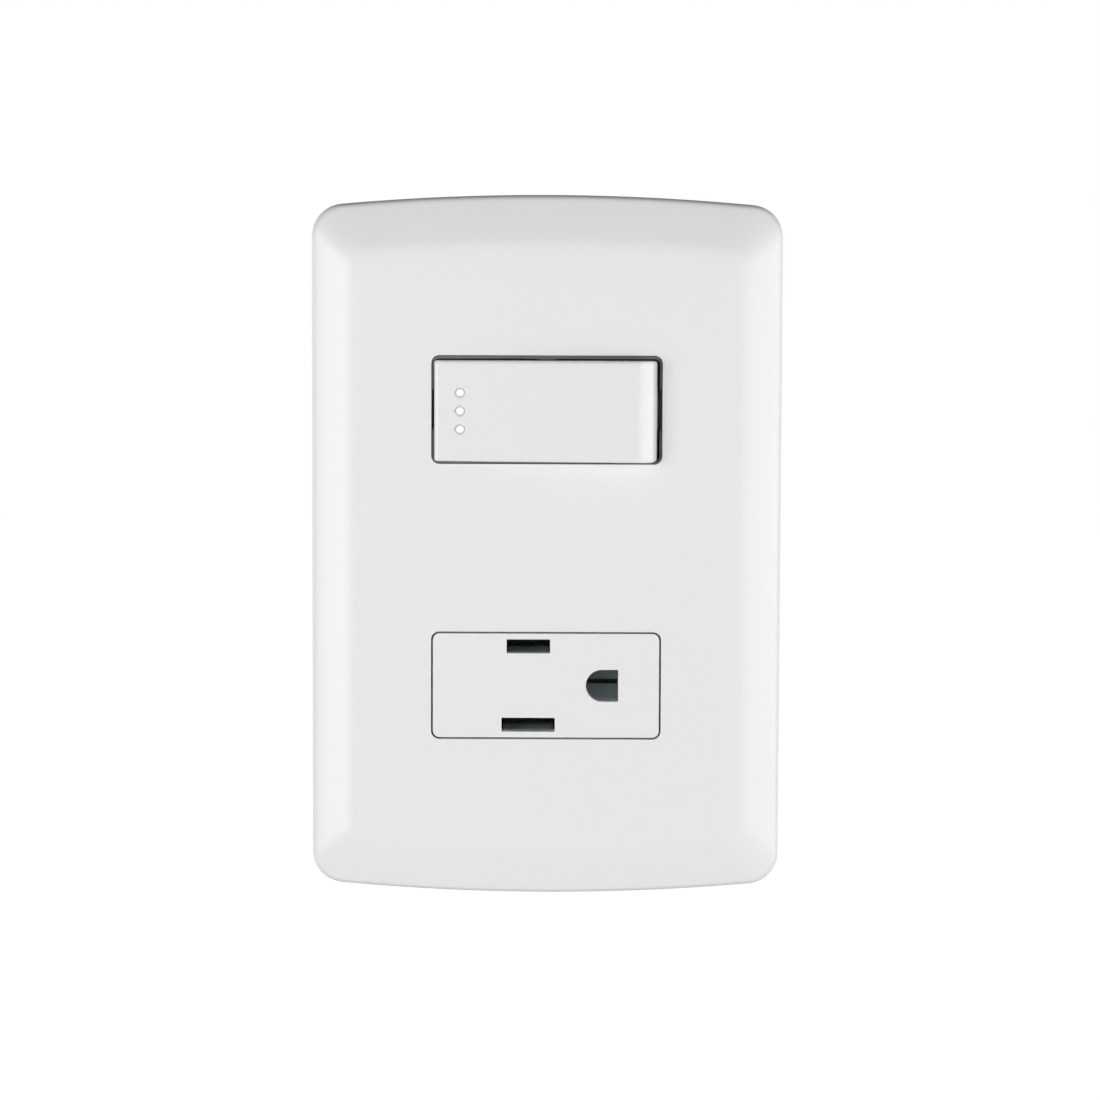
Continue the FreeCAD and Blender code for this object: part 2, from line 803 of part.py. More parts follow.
def rocker_collar():
    body = new_body("rocker_collar")
    up = module_pitch
    module_front(body, up)
    rim = centred(collar_rim_width, collar_rim_height, d.collar_rim_corner, up=up)
    pad(body, "rim", "front", -flange_front, -collar_rim_front, rim)
    inside = centred(collar_inner_width, collar_inner_height, d.collar_inner_corner, up=well_up)
    pocket(body, "well", "front", -collar_rim_front, -collar_floor_front, inside)
    aperture = centred(d.collar_aperture, d.collar_aperture, d.collar_inner_corner, up=up)
    pocket(body, "aperture", "front", -collar_floor_front, -d.tray_rear, aperture)
    for side, name in ((-1, "left"), (1, "right")):
        middle = (collar_inner_width + collar_rim_width) / 4 * side
        notch = centred(collar_rim_width / 2 - collar_inner_width / 2, d.collar_notch_width,
                        across=middle, up=up)
        pocket(body, f"{name}_notch", "front", -collar_rim_front, -collar_notch_out, notch)
    for side, name in ((-1, "low"), (1, "high")):
        outer = up + collar_rim_height / 2 * side
        inner = well_up + collar_inner_height / 2 * side
        half = d.collar_boss_width / 2
        low, high = (inner, outer) if side > 0 else (outer, inner)
        front = -collar_rim_front
        boss = rectangle(-half, half, low, high)
        pad(body, f"{name}_boss", "front", front, front - d.collar_boss_rise, boss)
    key_top = rocker_up + key_height / 2
    tab = rectangle(-d.collar_tab_width / 2, d.collar_tab_width / 2,
                    key_top + d.collar_tab_play, well_up + collar_inner_height / 2)
    pad(body, "tab", "front", -collar_rim_front, d.collar_tab_depth - collar_rim_front, tab)
    bearing = Ring(as_size(0), -pivot_out, d.trunnion_radius + d.trunnion_play)
    half = module_height / 2
    pocket(body, "bearings", "top", up - half, up + half, bearing)
    return body


def place_on_rocker(body):
    place(body, rear=-pivot_out, up=rocker_up, turn=-d.key_tilt)
    return body


def rocker_key():
    body = new_body("rocker_key")
    half = key_length / 2
    side = key_height / 2
    profile = [
        (half, -d.key_skirt),
        (-half, -d.key_skirt),
        Rounded(-half, -d.key_face, d.key_end_round),
        Rounded(half, -d.key_face, d.key_end_round),
    ]
    pad(body, "cap", "top", -side, side, profile)
    hollow = centred(key_length - d.key_wall * 2, key_height - d.key_wall * 2)
    pocket(body, "hollow", "front", -d.key_skirt, -key_inner_face, hollow)
    ear_outline = [
        (d.key_ear_width / 2, -key_inner_face),
        Rounded(d.key_ear_width / 2, d.key_ear_reach, d.key_ear_round),
        Rounded(-d.key_ear_width / 2, d.key_ear_reach, d.key_ear_round),
        (-d.key_ear_width / 2, -key_inner_face),
    ]
    for end, name in ((-1, "low"), (1, "high")):
        inner = (side - d.key_wall) * end
        pad(body, f"{name}_ear", "top", inner, side * end, ear_outline)
        trunnion = Ring(as_size(0), as_size(0), d.trunnion_radius)
        pad(body, f"{name}_trunnion", "top", side * end, trunnion_end * end, trunnion)
    for number in range(DOT_COUNT):
        up = d.dot_spacing * (number - (DOT_COUNT - 1) / 2)
        dot = Ring(-dot_place, up, d.dot_hole_radius)
        pocket(body, f"dot_hole_{number}", "front", -d.key_face, -key_inner_face, dot)
        dish = Ring(-dot_place, up, d.dot_dish_radius)
        pocket(body, f"dot_dish_{number}", "front", -d.key_face, d.dot_dish_depth - d.key_face, dish)
    level = d.key_end_round.value - d.key_face.value

    def long_front_edge(box):
        return box.YMax < level and abs(abs(box.ZMin) - side.value) + box.ZLength < EDGE_CLOSENESS

    rounded_edges(body, "face_edges", d.key_edge_round, long_front_edge)
    return place_on_rocker(body)


def glow_insert():
    body = new_body("glow_insert")
    strip = centred(d.glow_width, d.glow_height, d.glow_corner, across=-dot_place)
    pad(body, "strip", "front", -key_inner_face, d.glow_wall - key_inner_face, strip)
    for number in range(DOT_COUNT):
        up = d.dot_spacing * (number - (DOT_COUNT - 1) / 2)
        pin = Ring(-dot_place, up, d.glow_pin_radius)
        pad(body, f"pin_{number}", "front", -key_inner_face, -(d.key_face + d.glow_pin_rise), pin)
    tip = -(d.key_face + d.glow_pin_rise).value

    def at_the_tip(box):
        return abs(box.YMin - tip) + box.YLength < EDGE_CLOSENESS

    rounded_edges(body, "pin_tips", d.glow_pin_rise, at_the_tip)
    return place_on_rocker(body)


def plunger_carrier():
    body = new_body("plunger_carrier")
    block_height = key_height - (d.key_wall + d.carrier_play) * 2
    block_rear = d.carrier_depth - key_inner_face
    block = centred(d.carrier_width, block_height, d.collar_inner_corner)
    pad(body, "block", "front", -key_inner_face, block_rear, block)
    tube = Ring(as_size(0), as_size(0), d.carrier_tube_radius)
    pad(body, "tube", "front", block_rear, d.carrier_tube_reach, tube)
    bore = Ring(as_size(0), as_size(0), bore_radius)
    pocket(body, "bore", "front", d.carrier_tube_reach, -bore_front, bore)
    return place_on_rocker(body)


def plunger():
    """A pin with a shoulder and a ball end, turned about X and then stood along Y."""
    body = new_body("plunger")
    centre = plunger_reach - d.plunger_tip_radius
    outline = [
        (d.plunger_start, 0),
        (plunger_reach, 0), Arc(d.plunger_tip_radius, LEFT),
        (centre, d.plunger_tip_radius),
        (plunger_shoulder, d.plunger_radius),
        (d.plunger_start, d.plunger_radius),
    ]
    turned(body, "pin", outline)
    place(body, rear=-pivot_out, up=rocker_up, turn=90 - d.key_tilt)
    return body


def plunger_spring():
    """A coil of short straight lengths of round wire."""
    radius = spring_radius.value
    wire = d.spring_wire.value
    start = wire - bore_front.value
    length = d.plunger_start.value - wire - start
    count = round(d.spring_turns.value * SPRING_POINTS_PER_TURN)
    points = []
    for number in range(count + 1):
        angle = math.tau * number / SPRING_POINTS_PER_TURN
        points.append(Vector(radius * math.cos(angle), start + length * number / count,
                             radius * math.sin(angle)))
    path = Part.makePolygon(points)
    section = Part.Wire(Part.makeCircle(wire, points[0], points[1] - points[0]))
    coil = document.addObject("Part::Feature", "plunger_spring")
    coil.Label = "plunger_spring"
    coil.Shape = path.makePipeShell([section], True, True, 1)
    place(coil, rear=-pivot_out, up=rocker_up, turn=-d.key_tilt)
    return coil


def place_on_lever(body):
    place(body, rear=d.axis_rear, up=module_pitch, turn=d.lever_tilt)
    return body


def contact_lever():
    """A see-saw that rocks on the rounded top of the common post."""
    body = new_body("contact_lever")
    groove = post_half + d.lever_pivot_play
    arm_front = -d.lever_arm_front
    arm_rear = d.lever_arm_wall - d.lever_arm_front
    slope = d.lever_shoulder - d.lever_centre_reach
    half = [
        (d.lever_leg, as_size(0)),
        (d.lever_centre_reach, arm_front + d.lever_arm_wall / 2),
        (d.lever_centre_reach + slope, arm_rear),
        (lever_reach, arm_rear),
        (lever_reach, arm_front),
        (d.lever_shoulder, arm_front),
        (d.lever_centre_reach, -d.lever_centre_front),
    ]
    other = [(-across, rear) for across, rear in reversed(half)]
    profile = half + other + [
        (-groove, as_size(0)),
        Rounded(-groove, -groove, groove),
        Rounded(groove, -groove, groove),
        (groove, as_size(0)),
    ]
    pad(body, "blade", "top", -d.lever_width / 2, d.lever_width / 2, profile)
    hole = Ring(d.rivet_place, as_size(0), d.rivet_shank + d.rivet_play)
    pocket(body, "rivet_hole", "front", -d.lever_arm_front, arm_rear, hole)
    return place_on_lever(body)


def rivet(body, shank):
    """A contact rivet along X: a domed head whose seat is at the origin, and a shank behind it."""
    outline = [
        (-shank, 0),
        (d.rivet_edge + d.rivet_dome, 0), Arc(rivet_ball, LEFT),
        (d.rivet_edge, d.rivet_radius),
        (0, d.rivet_radius),
        (0, d.rivet_shank),
        (-shank, d.rivet_shank),
    ]
    turned(body, "rivet", outline)


def moving_contact():
    body = new_body("moving_contact")
    rivet(body, d.lever_arm_wall)
    seat_rear = d.lever_arm_wall - d.lever_arm_front
    across = d.rivet_place * cosine(d.lever_tilt) - seat_rear * sine(d.lever_tilt)
    rear = d.axis_rear + d.rivet_place * sine(d.lever_tilt) + seat_rear * cosine(d.lever_tilt)
    place(body, across, rear, module_pitch, 90 + d.lever_tilt)
    return body


def contact_meeting():
    """The place of the fixed contact's top, just behind the moving contact at rest."""
    seat_rear = d.lever_arm_wall - d.lever_arm_front
    ball_rear = seat_rear + d.rivet_edge + d.rivet_dome - rivet_ball
    across = d.rivet_place * cosine(d.lever_tilt) - ball_rear * sine(d.lever_tilt)
    rear = d.axis_rear + d.rivet_place * sine(d.lever_tilt) + ball_rear * cosine(d.lever_tilt)
    return across, rear + rivet_ball + d.contact_gap


def fixed_contact():
    body = new_body("fixed_contact")
    rivet(body, d.strip_wall)
    across, top = contact_meeting()
    place(body, across, top + d.rivet_edge + d.rivet_dome, module_pitch, as_size(-90))
    return body


def terminal_pad(body, side, up, rear, wall):
    """The upright end of a strip, with the hole for its screw."""
    inner, outer = pad_inner * side, (pad_inner + wall) * side
    low, high = up - d.pad_width / 2, up + d.pad_width / 2
    left, right = (inner, outer) if side > 0 else (outer, inner)
    pad(body, "pad", "front", rear, d.pad_out, rectangle(left, right, low, high))
    hole = Ring(d.screw_rear, up, pad_hole_radius)
    pocket(body, "screw_hole", "side", left, right, hole)


def common_terminal():
    """The strip whose post carries the lever, bent along the floor to the left terminal."""
    body = new_body("common_terminal")
    low, high = module_pitch - d.strip_width / 2, module_pitch + d.strip_width / 2
    profile = [
        (-pad_inner, strip_front),
        (-post_half, strip_front),
        Rounded(-post_half, d.axis_rear - post_half, post_half),
        Rounded(post_half, d.axis_rear - post_half, post_half),
        (post_half, chamber_rear),
        (-pad_inner, chamber_rear),
    ]
    pad(body, "strip", "top", low, high, profile)
    terminal_pad(body, -1, module_pitch, chamber_rear, d.strip_wall)
    return body


def load_terminal():
    """The strip that carries the fixed contact, bent down to the floor and to the right terminal."""
    body = new_body("load_terminal")
    low, high = module_pitch - d.strip_width / 2, module_pitch + d.strip_width / 2
    shelf_front = contact_meeting()[1] + d.rivet_edge + d.rivet_dome
    shelf_rear = shelf_front + d.strip_wall
    profile = [
        (shelf_inner, shelf_front),
        (shelf_outer, shelf_front),
        (shelf_outer, strip_front),
        (pad_inner, strip_front),
        (pad_inner, chamber_rear),
        (shelf_outer - d.strip_wall, chamber_rear),
        (shelf_outer - d.strip_wall, shelf_rear),
        (shelf_inner, shelf_rear),
    ]
    pad(body, "strip", "top", low, high, profile)
    terminal_pad(body, 1, module_pitch, chamber_rear, d.strip_wall)
    hole = Ring(contact_meeting()[0], module_pitch, d.rivet_shank + d.rivet_play)
    pocket(body, "rivet_hole", "front", shelf_front, shelf_rear, hole)
    return body


def switch_housing():
    body = new_body("switch_housing")
    up = module_pitch
    outline = centred(module_width, module_height, d.module_corner, up=up)
    pad(body, "block", "front", -d.tray_rear, d.module_rear, outline)
    chamber = centred(chamber_half * 2, module_height - d.module_wall * 2, d.module_corner, up=up)
    pocket(body, "chamber", "front", -d.tray_rear, chamber_rear, chamber)
    for side, name in ((-1, "common"), (1, "load")):
        terminal_pocket(body, name, side, up, partition_outer, chamber_rear)
        inner, outer = partition_outer * side, (pad_outer + d.channel_play) * side
        left, right = (inner, outer) if side > 0 else (outer, inner)
        half = d.pad_width / 2 + d.channel_play
        pad_channel = rectangle(left, right, up - half, up + half)
        pocket(body, f"{name}_pad_channel", "front", -d.tray_rear, pocket_front, pad_channel)
        inner = chamber_half * side
        outer = partition_outer * side
        left, right = (inner, outer) if side > 0 else (outer, inner)
        half = d.strip_width / 2 + d.channel_play
        strip_channel = rectangle(left, right, up - half, up + half)
        pocket(body, f"{name}_strip_channel", "front", -d.tray_rear, chamber_rear, strip_channel)
    middle = (stop_inner + stop_outer) / 2
    arm_rear = d.lever_arm_wall - d.lever_arm_front
    stop_front = (d.axis_rear + stop_inner * sine(d.lever_tilt) + arm_rear * cosine(d.lever_tilt)
                  + (stop_outer - stop_inner) * sine(d.lever_tilt) + d.stop_gap)
    for end, name in ((-1, "low"), (1, "high")):
        level = up + (d.strip_width / 2 + d.channel_play + d.stop_wall / 2) * end
        post = centred(stop_outer - stop_inner, d.stop_wall, across=-middle, up=level)
        pad(body, f"{name}_stop", "front", chamber_rear, stop_front, post)
    return body


# The socket


def socket_face():
    body = new_body("socket_face")
    up = -module_pitch
    module_front(body, up)
    front = centred(socket_face_width, socket_face_height, d.socket_face_corner, up=up)
    pad(body, "face", "front", -flange_front, -plate_depth, front)
    cavity = centred(socket_cavity_width, socket_cavity_height, up=up)
    pocket(body, "cavity", "front", -d.tray_rear, -socket_cavity_front, cavity)
    well = centred(socket_well_width, socket_well_height, up=up)
    pocket(body, "well", "front", -socket_cavity_front, -socket_well_front, well)
    for width, side, name in ((d.line_slot_width, 1, "line"), (d.neutral_slot_width, -1, "neutral")):
        slot = centred(width, d.slot_height, across=-d.blade_place, up=up + line_up * side)
        pocket(body, f"{name}_slot", "front", -plate_depth, -socket_cavity_front, slot)
    radius = d.ground_hole_radius
    earth = [
        Rounded(d.ground_place - radius, up - radius, radius),
        (d.ground_place + d.ground_hole_flat, up - radius),
        (d.ground_place + d.ground_hole_flat, up + radius),
        Rounded(d.ground_place - radius, up + radius, radius),
    ]
    pocket(body, "ground_hole", "front", -plate_depth, -socket_cavity_front, earth)
    return body


def blade_contact_width(slot_width):
    return slot_width - d.contact_play


def socket_body():
    body = new_body("socket_body")
    up = -module_pitch
    rear = centred(module_width, module_height, d.module_corner, up=up)
    pad(body, "block", "front", -d.tray_rear, d.module_rear, rear)
    slack = d.socket_core_play * 2
    core = centred(socket_cavity_width - slack, socket_cavity_height - slack, up=up)
    pad(body, "core", "front", -d.tray_rear, d.socket_core_play - socket_cavity_front, core)
    nose = centred(socket_well_width - slack, socket_well_height - slack, up=up)
    pad(body, "nose", "front", -d.tray_rear, -socket_nose_front, nose)
    for width, side, name in ((d.line_slot_width, 1, "line"), (d.neutral_slot_width, -1, "neutral")):
        chamber = centred(width + d.blade_chamber_play * 2, blade_chamber_half * 2,
                          across=-d.blade_place, up=up + line_up * side)
        pocket(body, f"{name}_chamber", "front", -socket_nose_front, d.contact_rear, chamber)
        level = up + terminal_offset * side
        terminal_pocket(body, name, -1, level, partition_outer, pocket_rear)
        tail_channel(body, name, -1, level, d.blade_place)
    ground = centred(ground_chamber_half * 2, ground_chamber_half * 2, across=d.ground_place, up=up)
    pocket(body, "ground_chamber", "front", -socket_nose_front, d.contact_rear, ground)
    terminal_pocket(body, "ground", 1, up, partition_outer, pocket_rear)
    tail_channel(body, "ground", 1, up, d.ground_place)
    return body


def tail_channel(body, name, side, level, from_place):
    """The way that a contact's tail and pad go in from the front."""
    near = from_place * side
    middle = partition_outer * side
    far = (pad_inner + d.contact_wall + d.channel_play) * side
    half = d.strip_width / 2 + d.channel_play
    left, right = (near, middle) if side > 0 else (middle, near)
    tail = rectangle(left, right, level - half, level + half)
    pocket(body, f"{name}_tail_channel", "front", -socket_nose_front, d.contact_rear, tail)
    half = d.pad_width / 2 + d.channel_play
    left, right = (middle, far) if side > 0 else (far, middle)
    pad_way = rectangle(left, right, level - half, level + half)
    pocket(body, f"{name}_pad_channel", "front", -socket_nose_front, d.contact_rear, pad_way)


def leaf_profile(up, lip_out, lip_half, throat_out, throat_half, base_half):
    """Two leaves on a common base, seen from the side in Y and Z."""
    floor = d.contact_rear - d.contact_wall
    wall = d.leaf_wall
    half = [
        (d.contact_rear, base_half),
        (d.leaf_knee, base_half),
        (-throat_out, throat_half + wall),
        (-lip_out, lip_half + wall),
        (-lip_out, lip_half),
        (-throat_out, throat_half),
        (d.leaf_knee, base_half - wall),
        (floor, base_half - wall),
    ]
    upper = [(rear, up + level) for rear, level in half]
    lower = [(rear, up - level) for rear, level in reversed(half)]
    return upper + lower


def tail(body, side, start, level):
    """The strip from the contact's base to its terminal pad."""
    inner, outer = start * side, (pad_inner + d.contact_wall) * side
    left, right = (inner, outer) if side > 0 else (outer, inner)
    strip = rectangle(left, right, level - d.strip_width / 2, level + d.strip_width / 2)
    pad(body, "tail", "front", d.contact_rear, d.contact_rear - d.contact_wall, strip)
    terminal_pad(body, side, level, d.contact_rear, d.contact_wall)


def blade_contact(name, slot_width, side):
    body = new_body(name)
    up = -module_pitch + line_up * side
    half = blade_contact_width(slot_width) / 2
    profile = leaf_profile(up, leaf_lip_out, d.leaf_lip_half, leaf_throat_out, d.leaf_throat_half,
                           d.leaf_base_half)
    pad(body, "leaves", "side", -d.blade_place - half, -d.blade_place + half, profile)
    tail(body, -1, d.blade_place, -module_pitch + terminal_offset * side)
    return body


def ground_contact():
    body = new_body("ground_contact")
    up = -module_pitch
    half = d.ground_contact_width / 2
    profile = leaf_profile(up, ground_lip_out, d.ground_lip_half, ground_throat_out,
                           d.ground_throat_half, d.ground_base_half)
    pad(body, "leaves", "side", d.ground_place - half, d.ground_place + half, profile)
    tail(body, 1, d.ground_place, up)
    return body


# The five terminals, each with a clamp and a screw


def terminal_clamp(name, side, up):
    """A captive plate under the screw head, with two lips that hold the wire in."""
    body = new_body(name)
    rear = screw_head_inner - d.clamp_wall
    outline = centred(d.clamp_size, d.clamp_size, d.clamp_corner)
    pad(body, "plate", "side", rear, screw_head_inner, outline)
    for end, level in ((-1, "front"), (1, "rear")):
        edge = (d.clamp_size / 2 - d.clamp_wall / 2) * end
        lip = centred(d.clamp_wall, d.clamp_size - d.clamp_wall, across=edge)
        pad(body, f"{level}_lip", "side", rear, rear - d.clamp_lip, lip)
    hole = Ring(as_size(0), as_size(0), clamp_hole_radius)
    pocket(body, "hole", "side", rear, screw_head_inner, hole)
    place(body, rear=d.screw_rear, up=up, turn=as_size(0 if side > 0 else 180))
    return body


def terminal_screw(name, side, up):
    body = new_body(name)
    outline = [
        (screw_tip, 0),
        (screw_head_end, 0),
        Rounded(screw_head_end, d.screw_head_radius, d.screw_head_round),
        (screw_head_inner, d.screw_head_radius),
        (screw_head_inner, d.screw_shank_radius),
        (screw_tip, d.screw_shank_radius),
    ]
    turned(body, "screw", outline)
    slot = centred(d.screw_head_radius * 2, d.screw_slot_width)
    pocket(body, "slot", "side", screw_head_end, screw_head_end - d.screw_slot_depth, slot)
    place(body, rear=d.screw_rear, up=up, turn=as_size(0 if side > 0 else 180))
    return body


TERMINALS = [
    ("common", -1, module_pitch),
    ("load", 1, module_pitch),
    ("line", -1, terminal_offset - module_pitch),
    ("neutral", -1, -terminal_offset - module_pitch),
    ("ground", 1, -module_pitch),
]

pieces = [
    wall_plate(), support_frame(), rocker_collar(), rocker_key(), glow_insert(), plunger_carrier(),
    plunger(), plunger_spring(), contact_lever(), moving_contact(), fixed_contact(),
    common_terminal(), load_terminal(), switch_housing(), socket_face(), socket_body(),
    blade_contact("line_contact", d.line_slot_width, 1),
    blade_contact("neutral_contact", d.neutral_slot_width, -1),
    ground_contact(),
]
for word, side, up in TERMINALS:
    pieces.append(terminal_clamp(f"{word}_clamp", side, up))
    pieces.append(terminal_screw(f"{word}_screw", side, up))
document.recompute()


# Every feature must have worked, and every cut must have taken something away

for item in document.Objects:
    if "Invalid" in item.State or "Error" in item.State:
        raise RuntimeError(f"{item.Label} in {item.getParent() or 'the document'} failed: {item.State}")
    if item.TypeId == "PartDesign::Pocket" and item.Shape.Volume > item.BaseFeature.Shape.Volume - TINY:
        raise RuntimeError(f"{item.Label} cuts nothing")
    if item.TypeId == "PartDesign::Pad" and item.BaseFeature:
        if item.Shape.Volume < item.BaseFeature.Shape.Volume + TINY:
            raise RuntimeError(f"{item.Label} adds nothing")
os.makedirs("parts", exist_ok=True)
for piece in pieces:
    if piece.Shape.isNull() or not piece.Shape.isValid():
        raise RuntimeError(f"{piece.Label} has no valid shape")
    if len(piece.Shape.Solids) != 1:
        raise RuntimeError(f"{piece.Label} is in {len(piece.Shape.Solids)} solids")
for piece in pieces:
    piece.Shape.exportStep(os.path.join("parts", piece.Label + ".step"))
    print(f"{piece.Label}: {piece.Shape.Volume:.1f} cubic mm")
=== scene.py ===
# %% [markdown]
# # A wall plate with a rocker switch and a socket
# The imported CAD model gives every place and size. This script dresses it: some pieces are built again
# with finer surfaces, the others keep their CAD mesh and get rounded edges and a finish.

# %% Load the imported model
import math

import bmesh
import bpy
from mathutils import Matrix, Vector


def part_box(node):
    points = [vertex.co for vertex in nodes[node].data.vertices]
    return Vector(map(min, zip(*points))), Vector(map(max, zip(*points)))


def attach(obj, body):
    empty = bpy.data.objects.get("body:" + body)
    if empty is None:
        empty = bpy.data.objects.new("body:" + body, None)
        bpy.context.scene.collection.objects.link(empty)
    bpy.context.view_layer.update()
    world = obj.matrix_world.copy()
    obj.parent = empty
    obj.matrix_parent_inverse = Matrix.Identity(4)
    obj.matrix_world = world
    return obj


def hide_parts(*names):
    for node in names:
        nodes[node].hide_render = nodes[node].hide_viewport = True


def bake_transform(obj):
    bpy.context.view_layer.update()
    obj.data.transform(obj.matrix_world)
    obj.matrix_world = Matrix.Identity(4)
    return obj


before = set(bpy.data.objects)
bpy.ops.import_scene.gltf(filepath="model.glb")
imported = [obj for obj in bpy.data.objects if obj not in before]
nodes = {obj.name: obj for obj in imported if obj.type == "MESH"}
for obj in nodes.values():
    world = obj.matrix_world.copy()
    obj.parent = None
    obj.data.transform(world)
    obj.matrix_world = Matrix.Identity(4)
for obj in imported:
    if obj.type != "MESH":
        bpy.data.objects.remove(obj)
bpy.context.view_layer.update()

# %% [markdown]
# ## The places that the pieces share
# Lengths are in millimetres here, as on a drawing. X runs to the right, Y into the wall and Z up.
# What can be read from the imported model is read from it, so a changed model changes the scene too.

# %% Read the main places from the frame
MM = 0.001


def extent(node):
    """The lowest and highest corner of a node in millimetres."""
    low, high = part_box(node)
    return low / MM, high / MM


plate_low, plate_high = extent("wall_plate")
plate_width = plate_high.x - plate_low.x
plate_height = plate_high.z - plate_low.z
plate_front = plate_low.y
collar_low, collar_high = extent("rocker_collar")
switch_up = (collar_low.z + collar_high.z) / 2
key_low, key_high = extent("rocker_key")
rocker_up = (key_low.z + key_high.z) / 2
PIVOT_DEPTH = -4.9
print("plate:", round(plate_width, 2), "x", round(plate_height, 2), "switch at", round(switch_up, 2),
      "rocker at", round(rocker_up, 2))

# %% [markdown]
# ## Outlines and skins
# Most of these parts are moulded, so a piece is an outline that changes a little from the back to the
# front. An outline is a list of points, a ring is an outline at a depth, and a skin runs through rings.

# %% Draw outlines


def arc(across, up, radius, start, end, steps):
    """Points along an arc, from one angle to another in degrees."""
    angles = [math.radians(start + (end - start) * number / steps) for number in range(steps + 1)]
    return [(across + radius * math.cos(angle), up + radius * math.sin(angle)) for angle in angles]


def rounded(width, height, corner, across=0, up=0, steps=8):
    """A rectangle with round corners."""
    reach, rise = width / 2 - corner, height / 2 - corner
    points = []
    for side, end, start in ((1, 1, 0), (-1, 1, 90), (-1, -1, 180), (1, -1, 270)):
        points += arc(across + side * reach, up + end * rise, corner, start, start + 90, steps)
    return points


def ring(outline, depth):
    """An outline at a distance from the wall, which is negative in front of it."""
    return [(across, depth, up) for across, up in outline]


def inset_at(levels, below):
    """Read how far a profile has come in at a depth, from a list of (depth, inset)."""
    for (depth, inset), (deeper, outer) in zip(levels, levels[1:]):
        if depth <= below <= deeper and deeper > depth:
            return inset + (outer - inset) * (below - depth) / (deeper - depth)
    return levels[-1][1]


print("a round corner has", len(rounded(2, 2, 1)) // 4, "points")

# %% Make meshes from rings


def new_piece(name, mesh):
    """An object from a bmesh in millimetres."""
    bmesh.ops.scale(mesh, vec=(MM, MM, MM), verts=mesh.verts)
    bmesh.ops.recalc_face_normals(mesh, faces=mesh.faces)
    data = bpy.data.meshes.new(name)
    mesh.to_mesh(data)
    mesh.free()
    data.polygons.foreach_set("use_smooth", [True] * len(data.polygons))
    piece = bpy.data.objects.new(name, data)
    bpy.context.scene.collection.objects.link(piece)
    return piece


def skin(name, rings, closed=False):
    """A surface through rings of equally many points, with a cap at each end or closed on itself."""
    mesh = bmesh.new()
    loops = [[mesh.verts.new(point) for point in points] for points in rings]
    pairs = list(zip(loops, loops[1:]))
    if closed:
        pairs.append((loops[-1], loops[0]))
    for near, far in pairs:
        for number in range(len(near)):
            after = (number + 1) % len(near)
            mesh.faces.new((near[number], near[after], far[after], far[number]))
    if not closed:
        mesh.faces.new(loops[0])
        mesh.faces.new(loops[-1])
    return new_piece(name, mesh)


def prism(outline, start, end):
    """A straight block, used as an addition or as a cutter."""
    return skin("block", [ring(outline, start), ring(outline, end)])


def slab(profile, low, high):
    """A block whose profile is seen from above, as (across, depth)."""
    return skin("slab", [[(across, depth, up) for across, depth in profile] for up in (low, high)])


print("mesh helpers:", [helper.__name__ for helper in (skin, prism, slab)])

# %% [markdown]
# ## Cutting and joining
# A real mould has cores that leave the openings. A Boolean modifier does the same to a mesh. It is
# applied at once, so the piece that is kept has one plain mesh.

# %% Cut and join


def settle(piece):
    """Turn a piece's modifiers into its own mesh."""
    graph = bpy.context.evaluated_depsgraph_get()
    mesh = bpy.data.meshes.new_from_object(piece.evaluated_get(graph))
    piece.modifiers.clear()
    piece.data = mesh


def combine(piece, operation, tools):
    """Join tools to a piece, or cut them out of it, and remove them."""
    for tool in tools:
        boolean = piece.modifiers.new(operation.lower(), "BOOLEAN")
        boolean.operation = operation
        boolean.solver = "EXACT"
        boolean.object = tool
    settle(piece)
    for tool in tools:
        bpy.data.objects.remove(tool)


def cut(piece, *tools):
    combine(piece, "DIFFERENCE", tools)


def join(piece, *additions):
    combine(piece, "UNION", additions)


def score(piece, axis, *places):
    """Divide the faces along planes, so that no hole lies inside a single face and shades badly."""
    mesh = bmesh.new()
    mesh.from_mesh(piece.data)
    normal = Vector([1.0 if number == axis else 0.0 for number in range(3)])
    for place in places:
        everything = [*mesh.verts, *mesh.edges, *mesh.faces]
        bmesh.ops.bisect_plane(mesh, geom=everything, plane_co=normal * place * MM, plane_no=normal,
                               dist=1e-7)
    mesh.to_mesh(piece.data)
    mesh.free()


def soften(piece, width, segments=3, angle=30, weld=False):
    """Round the sharp edges, and keep flat faces looking flat."""
    if weld:
        seam = piece.modifiers.new("weld", "WELD")
        seam.merge_threshold = 0.002 * MM
    bevel = piece.modifiers.new("edge round", "BEVEL")
    bevel.width = width * MM
    bevel.segments = segments
    bevel.limit_method = "ANGLE"
    bevel.angle_limit = math.radians(angle)
    bevel.miter_outer = "MITER_ARC"
    bevel.use_clamp_overlap = True
    shading = piece.modifiers.new("flat faces", "WEIGHTED_NORMAL")
    shading.weight = 80
    shading.keep_sharp = False


print("shaping helpers:", [helper.__name__ for helper in (cut, join, score, soften)])

# %% [markdown]
# ## Shader maths
# A finish is a small graph of nodes. The first class wraps a socket, so that a sum of masks can be
# written as a sum. The second adds any node with its settings and its links in one call.

# %% Write shader maths as Python


class Signal:
    """A number that varies over a surface."""

    def __init__(self, tree, socket):
        self.tree = tree
        self.socket = socket

    def maths(self, operation, first, second):
        node = self.tree.nodes.new("ShaderNodeMath")
        node.operation = operation
        connect(self.tree, node.inputs[0], first)
        connect(self.tree, node.inputs[1], second)
        return Signal(self.tree, node.outputs[0])

    def __add__(self, other):
        return self.maths("ADD", self, other)

    __radd__ = __add__

    def __mul__(self, other):
        return self.maths("MULTIPLY", self, other)

    __rmul__ = __mul__

    def __rsub__(self, other):
        return self.maths("SUBTRACT", other, self)


